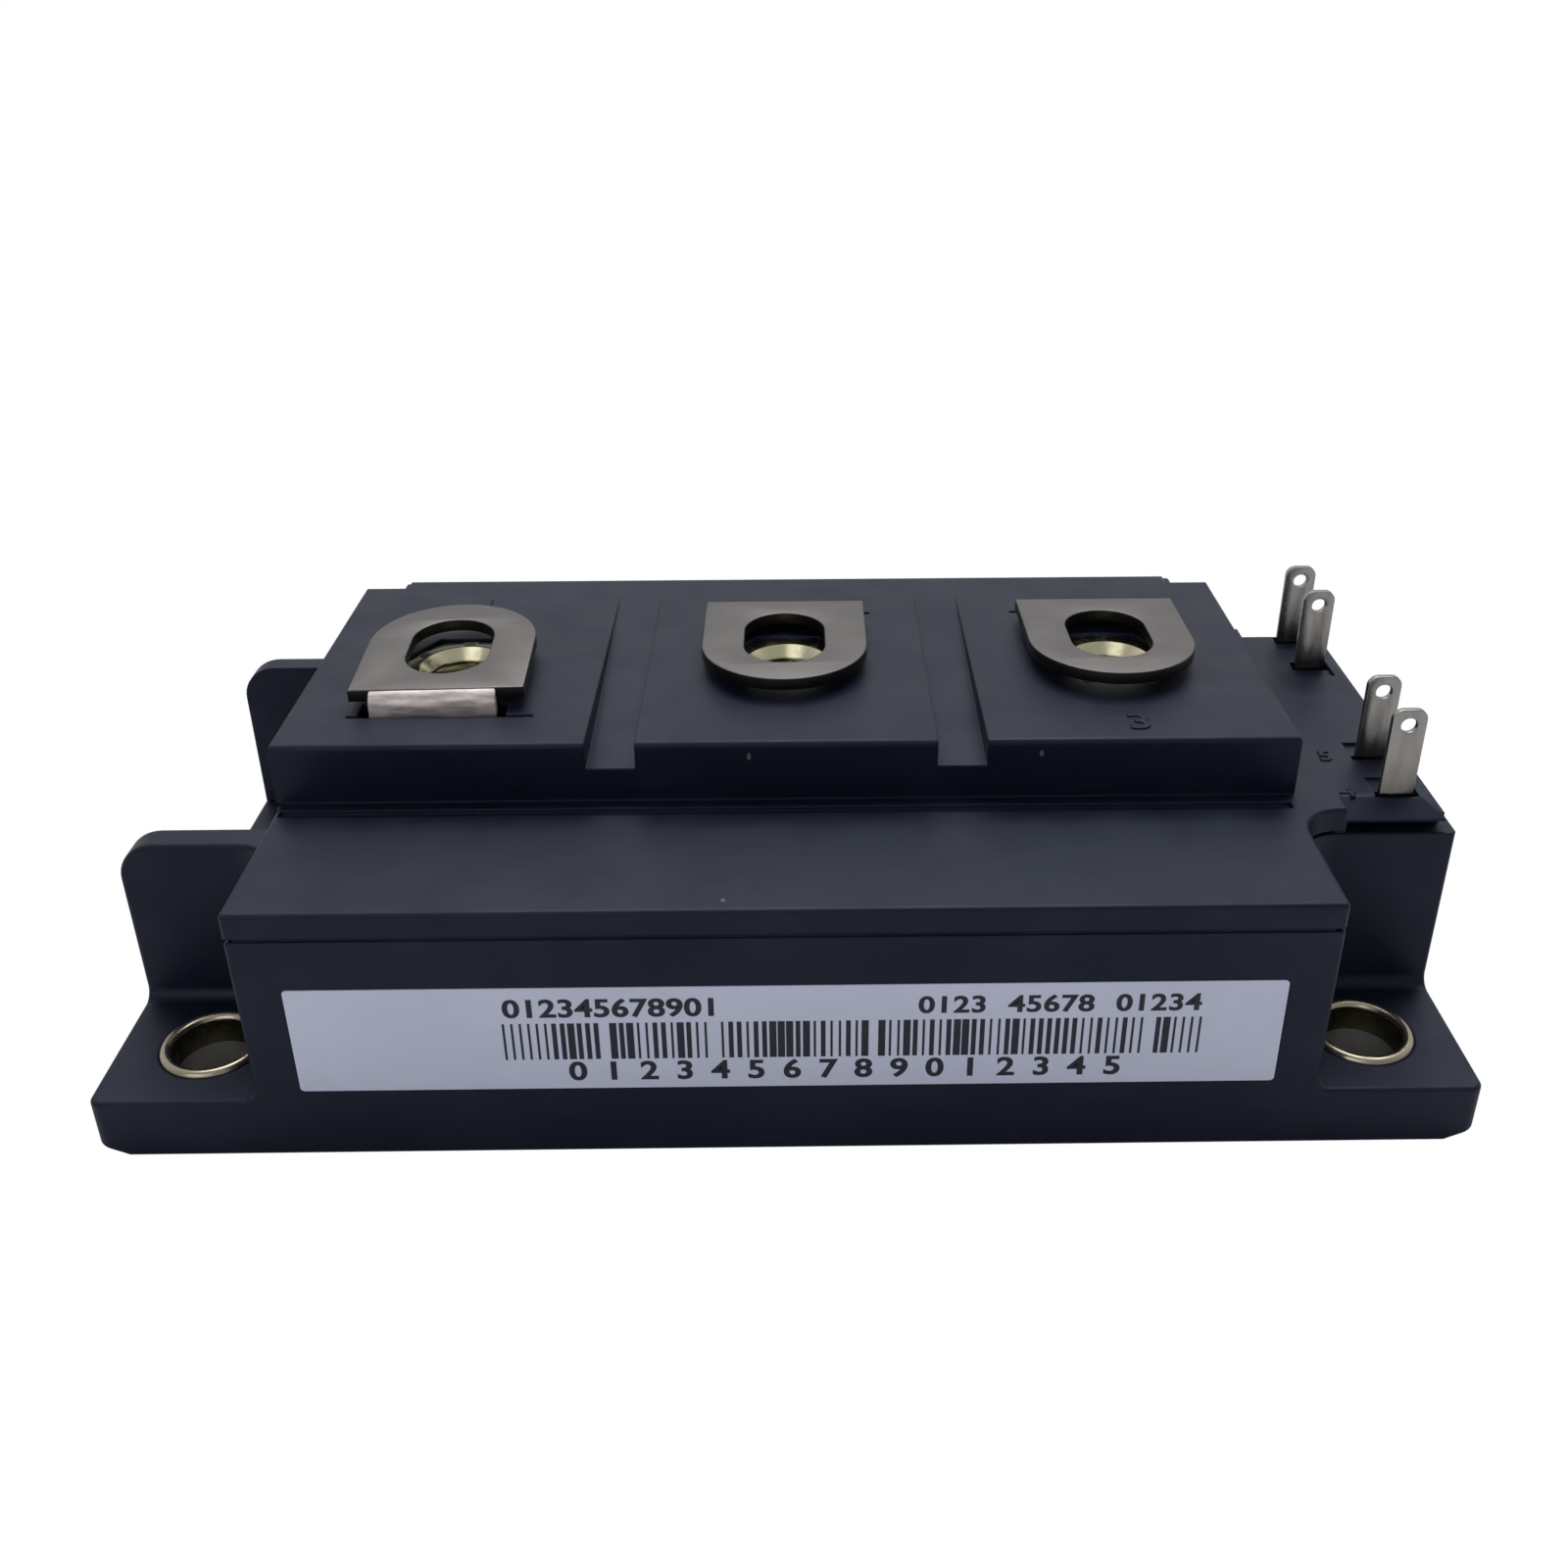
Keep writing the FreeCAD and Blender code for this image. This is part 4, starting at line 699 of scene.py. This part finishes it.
class MODULE_OT_mouldings(bpy.types.Operator):
    """Gives frame and cover their plastic and sets the raised numerals"""
    bl_idname = "module.mouldings"
    bl_label = "Mouldings"

    def execute(self, context):
        case = context.scene.module_case
        dress("case_frame", plastic("frame_plastic", case))
        # The cover's plastic carries the painted glints
        cover = plastic("cover_plastic", case, PAINTED_GLINTS)
        keep("cover_moulding", reshaped("top_cover", self.steps()), "cover_plastic", cover, "top_cover")
        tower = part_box("top_cover")[1].z
        size = case.numeral_height / FIGURE_SHARE
        rows = [(text, Vector((x * MM, y * MM, level)), size * share, 1.0) for text, x, y, level, share in (
            ("1", -28.5, 12.6, tower, 1.0), ("3", 28.7, -12.3, tower, 1.0),
            ("4", 45.6, -15.0, LID_TOP * MM, LID_FIGURE), ("5", 45.6, -9.0, LID_TOP * MM, LID_FIGURE))]
        mesh = figures("cover_numerals", rows, Matrix.Identity(4), case.numeral_rise * 2)
        keep("cover_numerals", mesh, "cover_plastic", cover)
        return {"FINISHED"}

    def steps(self):
        """What the cover's fine form adds to the CAD solid and takes from it, one after another."""
        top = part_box("top_cover")[1].z / MM
        strip = blocks([((-41.5, 41.5), (-17.5, TOWER_FRONT), (SHELF_TOP, SHELF_TOP + 2))])
        inside, slit, rim = self.strap_slots(top)
        seam_front = blocks([((-40.2, 40.2), (-30.88, -29.5), (19.9, 20.6))])
        seam_sides = blocks([((45.0, 54), (side * 15.9, side * 17.8), (20.15, 21.2)) for side in (-1, 1)])
        return [("DIFFERENCE", strip), ("DIFFERENCE", self.channel()), ("UNION", self.groove_floors(top)),
                ("UNION", inside), ("UNION", slit), ("UNION", rim), ("UNION", seam_front),
                ("UNION", self.lid()), ("DIFFERENCE", self.tab_slots(-0.6, 0.6, 20.4)),
                ("DIFFERENCE", self.tab_slots(-2.45, -0.55, LID_TOP - 0.3)), ("DIFFERENCE", seam_sides)]

    def channel(self):
        """The shallow channel in front of the tower."""
        bm = bmesh.new()
        prism(bm, [(-17.35, SHELF_TOP - 0.18), (-16.45, SHELF_TOP - 0.35), (-16.35, SHELF_TOP + 1),
                   (-17.45, SHELF_TOP + 1)], -40.5, 40.5, along_x)
        return bm

    def groove_floors(self, top):
        """Fillings of the two grooves that rise from the tower's front to its top."""
        bm = bmesh.new()
        floor, bite, below = top - GROOVE_DEPTH, 0.3, 0.5
        profile = [(TOWER_FRONT, floor - below), (GROOVE_END, floor - below), (GROOVE_END, top),
                   (GROOVE_RISEN, top), (TOWER_FRONT, floor)]
        for left in GROOVE_LEFT:
            prism(bm, profile, left - bite, left + GROOVE_WIDTH + bite, along_x)
        return bm

    def strap_slots(self, top):
        """Fillings of the slots beside the straps: the inner part, a lower slit and the outer rim."""
        floor = top - GROOVE_DEPTH - 1
        open_half, slot_half = 6.1, 8.0
        stretches = []
        for place in TERMINALS.values():
            centre = round(place.x / TERMINAL_PITCH) * TERMINAL_PITCH
            for end in (-1, 1):
                stretches.append(((place.x + end * open_half, centre + end * slot_half), place.facing))
        parts = ((7.6, 9.95, top), (9.9, 10.7, top - 0.8), (10.4, 10.7, top))
        return [blocks([(x, (facing * near, facing * far), (floor, level)) for x, facing in stretches])
                for near, far, level in parts]

    def lid(self):
        """The cover over the tab block, bevelled on three sides."""
        bm = bmesh.new()
        low, start, end, side, bevel = 20.1, 44.0, 53.0, 17.5, 1.0
        rows = []
        for z, inset in ((low, 0), (LID_TOP - bevel * 1.2, 0), (LID_TOP, bevel)):
            x, y = end - inset, side - inset * 2.1
            corners = ((start, -y, z), (x, -y, z), (x, y, z), (start, y, z))
            rows.append([bm.verts.new(Vector(corner) * MM) for corner in corners])
        for below, above in zip(rows, rows[1:]):
            for number in range(4):
                after = (number + 1) % 4
                bm.faces.new((below[number], below[after], above[after], above[number]))
        bm.faces.new(rows[0])
        bm.faces.new(rows[-1])
        return bm

    def tab_slots(self, inner, outer, floor):
        """A block for each tab, between two distances from the blade's middle and from a floor up."""
        return blocks([((TAB_X - TAB_SLOT / 2, TAB_X + TAB_SLOT / 2),
                        (side * (across + inner), side * (across + outer)), (floor, LID_TOP + 1))
                       for side in (-1, 1) for across in TAB_Y])


# The label's print: its depth and how far it stands off the film, the ends, level and height of the row of
# bars, and the levels of the figures above and below it
PRINT_DEPTH = 0.016
PRINT_GAP = 0.002
BARS_ENDS = (-21.3, 31.0)
BARS_LEVEL = 10.9
BARS_HEIGHT = 3.4
UPPER_LEVEL = 13.9
LOWER_LEVEL = 7.95
# The figures below the bars: first place, distance and number
LOWER_START = -16.0
LOWER_PITCH = 2.713
LOWER_COUNT = 16


class MODULE_OT_label(bpy.types.Operator):
    """Builds the sticker with its bars and plain digits"""
    bl_idname = "module.label"
    bl_label = "Label"

    def execute(self, context):
        label = context.scene.module_label
        low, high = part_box("label")
        depth = PRINT_DEPTH * MM
        front = low.y + depth + PRINT_GAP * MM
        middle = front - depth / 2
        sticker = film("label_film", label.film)
        keep("label_sheet", self.sheet(low, high, front), "label_film", sticker, "label")
        ink = plain("label_ink", label.ink, 0.42, size=0.6, spread=0.3)
        start, end = (x * MM for x in BARS_ENDS)
        values = {"Places": label.bar_count, "Start": (start, middle, BARS_LEVEL * MM),
                  "Pitch": (end - start) / (label.bar_count - 1), "Unit": label.bar_unit,
                  "Height": BARS_HEIGHT * MM, "Depth": depth, "Seed": label.bar_seed, "Material": ink}
        keep("label_bars", grown("label_bars", bars_tree(), values), "label_film", ink)
        count = label.counting
        lines = [(count + count[:2], -13.15, UPPER_LEVEL, 2.3, 1.05),
                 (f"{count[:4]}  {count[4:9]}  {count[:5]}", 20.35, UPPER_LEVEL, 2.15, 1.08)]
        for number, figure in enumerate((count + count)[:LOWER_COUNT]):
            lines.append((figure, LOWER_START + LOWER_PITCH * number, LOWER_LEVEL, 2.45, 1.0))
        rows = [(text, Vector((x * MM, middle, z * MM)), size * MM, spacing)
                for text, x, z, size, spacing in lines]
        upright = Matrix.Rotation(math.pi / 2, 4, "X")
        keep("label_digits", figures("label_digits", rows, upright, depth, 0.012), "label_film", ink)
        return {"FINISHED"}

    def sheet(self, low, high, front):
        """The sheet with round corners, its front edge softened."""
        bm = bmesh.new()
        radius, steps = 0.35 * MM, 8
        points = []
        for cx, cz, start in ((high.x - radius, high.z - radius, 0), (low.x + radius, high.z - radius, 90),
                              (low.x + radius, low.z + radius, 180), (high.x - radius, low.z + radius, 270)):
            for step in range(steps + 1):
                turn = math.radians(start + step * 90 / steps)
                points.append((cx + radius * math.cos(turn), cz + radius * math.sin(turn)))
        face = bm.faces.new([bm.verts.new((x, high.y, z)) for x, z in points])
        raised = bmesh.ops.extrude_face_region(bm, geom=[face])
        moved = [item for item in raised["geom"] if isinstance(item, bmesh.types.BMVert)]
        bmesh.ops.translate(bm, verts=moved, vec=(0, front - high.y, 0))
        bmesh.ops.recalc_face_normals(bm, faces=bm.faces)
        rim = [edge for edge in bm.edges if all(abs(vert.co.y - front) < 1e-7 for vert in edge.verts)]
        bmesh.ops.bevel(bm, geom=rim, offset=0.04 * MM, segments=2, profile=0.5, affect="EDGES")
        return smooth_mesh(bm, "label_sheet")


# The screw terminals' sheet: thickness, level of its underside, inner radius and middle of the bend along y,
# and how far the strap's faces lie inside the head's
SHEET = 1.1
SHEET_LOW = 28.5
BEND_INSIDE = 0.3
BEND_Y = -8.3
STRAP_INSET = 0.015
# The head: half width, which is also its round end's radius, the end's middle, the straight end, and the
# oblong hole's radius and ends
HEAD_HALF = 7.2
HEAD_ROUND = 0.4
HEEL = 8.8
EYE_RADIUS = 3.525
EYE_ENDS = (0.775, -2.475)
# The strap: width, where it starts under the head, its lower end, and the level where the leg goes on
STRAP_WIDTH = 10.4
STRAP_START = -7.4
STRAP_END = 19.5
LEG_TOP = 20.0


class MODULE_OT_terminals(bpy.types.Operator):
    """Builds the folded screw terminals with rounded sheet edges, two of them bent up a little"""
    bl_idname = "module.terminals"
    bl_label = "Screw terminals"

    def execute(self, context):
        metal = context.scene.module_metal
        for side, at in TERMINALS.items():
            node = "terminal_" + side
            # Plating with a painted highlight on the bend and painted shade on the upright sheet faces
            finish = plated("plating_" + side, metal.nickel, metal.bend, at.facing)
            place = Matrix.Translation((at.x * MM, 0, 0)) @ Matrix.Rotation(math.radians(at.turn), 4, "Z")
            whole = bmesh.new()
            fold = whole.faces.layers.float.new("fold")
            for share, mesh in enumerate((self.head(metal.sheet_edge, at.tilt),
                                          self.strap(metal.sheet_edge, at.off))):
                mesh.transform(place)
                before = len(whole.faces)
                whole.from_mesh(mesh)
                whole.faces.ensure_lookup_table()
                for face in whole.faces[before:]:
                    face[fold] = share
                bpy.data.meshes.remove(mesh)
            bmesh.ops.remove_doubles(whole, verts=whole.verts, dist=JOIN)
            self.leg(whole, node)
            bmesh.ops.recalc_face_normals(whole, faces=whole.faces)
            mesh = smooth_mesh(whole, node + "_folded")
            keep("screw_terminal_" + side, mesh, "terminal_nickel", finish, node)
        return {"FINISHED"}

    def head(self, edge, tilt):
        """The D-shaped plate with its oblong hole, bent up about the middle of the bend."""
        soft = edge / MM
        half, heel, eye = HEAD_HALF - soft, HEEL - soft, EYE_RADIUS + soft
        outline = [(-half, -heel), (half, -heel), *arc((0, HEAD_ROUND), half, 0, 180, 48)]
        hole = [*arc((0, EYE_ENDS[0]), eye, 0, 180, 32), *arc((0, EYE_ENDS[1]), eye, 180, 360, 32)]
        hinge = Vector((0, BEND_Y, SHEET_LOW)) * MM
        lift = Matrix.Translation((0, 0, (SHEET_LOW + SHEET / 2) * MM))
        tilted = Matrix.Rotation(math.radians(tilt), 4, "X")
        bent = Matrix.Translation(hinge) @ tilted @ Matrix.Translation(-hinge)
        return cut_sheet([outline, hole], SHEET, edge, bent @ lift)

    def strap(self, edge, off):
        """The strap from the head's heel round the bend and down into the tower."""
        soft = edge / MM
        low, high = SHEET_LOW + STRAP_INSET + soft, SHEET_LOW + SHEET - STRAP_INSET - soft
        small, large = BEND_INSIDE + soft, BEND_INSIDE + SHEET - soft
        side = [(STRAP_START, high), *arc((BEND_Y, high - large), large, 90, 180, 10),
                (BEND_Y - large, STRAP_END), (BEND_Y - small, STRAP_END),
                *arc((BEND_Y, low - small), small, 180, 90, 6), (STRAP_START, low)]
        place = Matrix(((0, 0, 1, off * MM), (1, 0, 0, 0), (0, 1, 0, 0), (0, 0, 0, 1)))
        return cut_sheet([side], STRAP_WIDTH, edge, place)

    def leg(self, whole, node):
        """The part of the CAD solid below the tower's roof."""
        low = merged(node)
        cut = bmesh.ops.bisect_plane(low, geom=[*low.verts, *low.edges, *low.faces],
                                     plane_co=(0, 0, LEG_TOP * MM), plane_no=(0, 0, 1), clear_outer=True)
        rim = [item for item in cut["geom_cut"] if isinstance(item, bmesh.types.BMEdge)]
        bmesh.ops.contextual_create(low, geom=rim)
        mesh = bpy.data.meshes.new(node + "_leg")
        low.to_mesh(mesh)
        low.free()
        whole.from_mesh(mesh)
        bpy.data.meshes.remove(mesh)


class MODULE_OT_nuts(bpy.types.Operator):
    """Builds the three nuts with their threads"""
    bl_idname = "module.nuts"
    bl_label = "Nuts"

    def execute(self, context):
        metal = context.scene.module_metal
        # flat is a painted reflection of the terminal head's dark underside; bore and all below the seat's
        # level are painted shade
        brass = turned("nut_brass", metal.brass, flat=(0.16, 0.15, 0.09), bore=(0.10, 0.09, 0.04), painted_shade_below=26.55)
        for side in TERMINALS:
            node = "terminal_nut_" + side
            low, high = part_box(node)
            mesh = nut_mesh("threaded_nut_" + side, (low + high) / 2, high.y - low.y, low.z + metal.nut_lift,
                            high.z + metal.nut_lift, metal)
            keep("threaded_nut_" + side, mesh, "nut_brass", brass, node)
        return {"FINISHED"}


BUSH_WALL = 1.0


class MODULE_OT_bushes(bpy.types.Operator):
    """Builds the bushes of the mounting holes"""
    bl_idname = "module.bushes"
    bl_label = "Mounting bushes"

    def execute(self, context):
        metal = context.scene.module_metal
        # flat and bore are painted shades of the rim's level faces and the bore's wall
        finish = turned("bush_brass", metal.bush, flat=(0.44, 0.39, 0.30), bore=(0.05, 0.05, 0.018))
        for number in range(1, 5):
            node = f"mounting_bush_{number}"
            low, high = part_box(node)
            outer = (high.x - low.x) / 2
            high.z += metal.bush_proud
            mesh = bush_mesh(node, low, high, outer - BUSH_WALL * MM, outer)
            keep(f"drawn_bush_{number}", mesh, "bush_brass", finish, node)
        return {"FINISHED"}


class MODULE_OT_tabs(bpy.types.Operator):
    """Builds the flat tabs with rounded edges"""
    bl_idname = "module.tabs"
    bl_label = "Flat tabs"

    def execute(self, context):
        metal = context.scene.module_metal
        finish = tinned("tab_tin", metal.tin)
        for node in TABS:
            blade = "blade_" + node.removeprefix("tab_")
            keep(blade, rounded_copy(node, metal.tab_edge), "tab_tinned", finish, node)
        return {"FINISHED"}


class MODULE_OT_circuit(bpy.types.Operator):
    """Gives the base plate and everything inside the case its finish"""
    bl_idname = "module.circuit"
    bl_label = "Base plate and circuit"

    def execute(self, context):
        finishes = {
            "base_plate": plated("plate_nickel", (0.40, 0.39, 0.38)),
            "solder": plain("solder_grey", (0.42, 0.42, 0.43), 0.38, metal=1.0, size=2.0),
            "substrate_copper": plain("under_copper", (0.66, 0.34, 0.22), 0.42, metal=1.0, size=2.0),
            "substrate_link": plain("link_copper", (0.70, 0.36, 0.24), 0.34, metal=1.0, size=2.0),
            "substrate": plain("white_ceramic", (0.74, 0.74, 0.71), 0.55, size=3.0, spread=0.08),
            "tracks": plain("track_copper", (0.68, 0.35, 0.23), 0.40, metal=1.0, size=2.0),
            "transistor_chip": plain("transistor_silicon", (0.16, 0.16, 0.19), 0.22, metal=1.0, size=3.0),
            "diode_chip": plain("diode_silicon", (0.24, 0.24, 0.26), 0.24, metal=1.0, size=3.0),
            "emitter_wires": plain("wire_aluminium", (0.74, 0.74, 0.75), 0.28, metal=1.0, size=0.8),
            "gate_wires": plain("gate_aluminium", (0.74, 0.74, 0.75), 0.28, metal=1.0, size=0.8),
            "silicone_filling": gel("clear_filling"),
        }
        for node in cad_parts:
            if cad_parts[node].hide_render:
                continue
            fitting = [key for key in finishes if node.startswith(key)]
            if fitting:
                dress(node, finishes[max(fitting, key=len)])
        return {"FINISHED"}


FLOOR_HALF = 6000
# The camera's place and its turns to the right, up and anticlockwise, the lens and the picture's shift
CAMERA_PLACE = (1.2147, -123.5401, 86.3098)
CAMERA_TURNS = (0.6749, -27.6399, -0.2018)
CAMERA_LENS = 35.61
CAMERA_SHIFT = (-0.0214, -0.0400)
# The point that the lamps face
LAMP_AIM = (0, 0, 15)


class MODULE_OT_stage(bpy.types.Operator):
    """Sets floor, sky, lamps and camera"""
    bl_idname = "module.stage"
    bl_label = "Stage"

    def execute(self, context):
        stage = context.scene.module_stage
        self.floor(stage)
        self.sky(context, stage)
        self.lamp("key", stage.key_power, place=(0.05, 0.34, 0.74), size=(0.75, 0.5))
        self.lamp("fill", stage.fill_power, place=(-0.25, -0.55, 0.40), size=(0.5, 0.4))
        self.camera(context)
        context.scene.view_settings.view_transform = "Standard"
        return {"FINISHED"}

    def floor(self, stage):
        """A wide level floor, dull but for the share of white that the camera sees."""
        half = FLOOR_HALF * MM
        mesh = bpy.data.meshes.new("floor")
        mesh.from_pydata([(x * half, y * half, 0) for x, y in ((-1, -1), (1, -1), (1, 1), (-1, 1))], [],
                         [(0, 1, 2, 3)])
        floor = placed("floor", mesh)
        material = bpy.data.materials.new("floor_pale")
        material.use_nodes = True
        tree = material.node_tree
        tree.nodes.clear()
        dull = added(tree, "ShaderNodeBsdfDiffuse", {"Color": stage.floor})["BSDF"]
        white = added(tree, "ShaderNodeEmission")["Emission"]
        seen = added(tree, "ShaderNodeLightPath")["Is Camera Ray"]
        share = added(tree, "ShaderNodeMath", {0: seen, 1: stage.haze}, operation="MULTIPLY")["Value"]
        mix = added(tree, "ShaderNodeMixShader", {"Fac": share, 1: dull, 2: white})["Shader"]
        added(tree, "ShaderNodeOutputMaterial", {"Surface": mix})
        mesh.materials.append(material)

    def sky(self, context, stage):
        """White to the camera; brighter behind the module than in front as a light."""
        world = bpy.data.worlds.new("pale_sky")
        context.scene.world = world
        world.use_nodes = True
        tree = world.node_tree
        tree.nodes.clear()
        facing = added(tree, "ShaderNodeTexCoord")["Generated"]
        rear = added(tree, "ShaderNodeSeparateXYZ", {"Vector": facing})["Y"]
        level = added(tree, "ShaderNodeMapRange",
                      {"Value": rear, "From Min": -0.5, "From Max": 0.6, "To Min": stage.front_sky,
                       "To Max": stage.rear_sky}, interpolation_type="SMOOTHSTEP")["Result"]
        seen = added(tree, "ShaderNodeLightPath")["Is Camera Ray"]
        strength = added(tree, "ShaderNodeMix", {"Factor": seen, "A": level, "B": 1})["Result"]
        back = added(tree, "ShaderNodeBackground", {"Color": (1, 1, 1), "Strength": strength})["Background"]
        added(tree, "ShaderNodeOutputWorld", {"Surface": back})

    def lamp(self, name, power, place, size):
        """A rectangular lamp at a place in metres that faces the module."""
        data = bpy.data.lights.new(name, "AREA")
        data.shape = "RECTANGLE"
        data.size, data.size_y = size
        data.energy = power
        lamp = placed(name, data)
        lamp.location = place
        lamp.rotation_mode = "QUATERNION"
        lamp.rotation_quaternion = (Vector(LAMP_AIM) * MM - Vector(place)).to_track_quat("-Z", "Y")

    def camera(self, context):
        """The camera stands where the photograph was taken from."""
        yaw, pitch, roll = (math.radians(turn) for turn in CAMERA_TURNS)
        ahead = Vector((math.sin(yaw) * math.cos(pitch), math.cos(yaw) * math.cos(pitch), math.sin(pitch)))
        right = ahead.cross(Vector((0, 0, 1))).normalized()
        up = right.cross(ahead)
        level_right = math.cos(roll) * right + math.sin(roll) * up
        level_up = -math.sin(roll) * right + math.cos(roll) * up
        data = bpy.data.cameras.new("camera")
        data.sensor_width = 36
        data.lens = CAMERA_LENS
        data.shift_x, data.shift_y = CAMERA_SHIFT
        data.clip_start = 0.005
        data.clip_end = 50
        camera = placed("camera", data)
        turn = Matrix((level_right, level_up, -ahead)).transposed().to_4x4()
        camera.matrix_world = Matrix.Translation([part * MM for part in CAMERA_PLACE]) @ turn
        context.scene.camera = camera


class MODULE_PT_looks(bpy.types.Panel):
    """Lists the settings and the steps"""
    bl_idname = "MODULE_PT_looks"
    bl_label = "Power module"
    bl_space_type = "VIEW_3D"
    bl_region_type = "UI"
    bl_category = "Power module"

    def draw(self, context):
        for group in GROUPS:
            column = self.layout.column(align=True)
            settings = getattr(context.scene, group)
            for name in settings.__annotations__:
                column.prop(settings, name)
        for step in STEPS:
            self.layout.operator(step.bl_idname)


GROUPS = {"module_case": CaseSettings, "module_metal": MetalSettings, "module_label": LabelSettings,
          "module_stage": StageSettings}
STEPS = (MODULE_OT_mouldings, MODULE_OT_label, MODULE_OT_terminals, MODULE_OT_nuts, MODULE_OT_bushes,
         MODULE_OT_tabs, MODULE_OT_circuit, MODULE_OT_stage)


def register():
    for kind in (*GROUPS.values(), *STEPS, MODULE_PT_looks):
        bpy.utils.register_class(kind)
    for name, kind in GROUPS.items():
        setattr(bpy.types.Scene, name, PointerProperty(type=kind))


def unregister():
    for name in GROUPS:
        delattr(bpy.types.Scene, name)
    for kind in (MODULE_PT_looks, *reversed(STEPS), *reversed(GROUPS.values())):
        bpy.utils.unregister_class(kind)


def main():
    register()
    for step in STEPS:
        area, name = step.bl_idname.split(".")
        getattr(getattr(bpy.ops, area), name)()


if __name__ == "__main__":
    main()
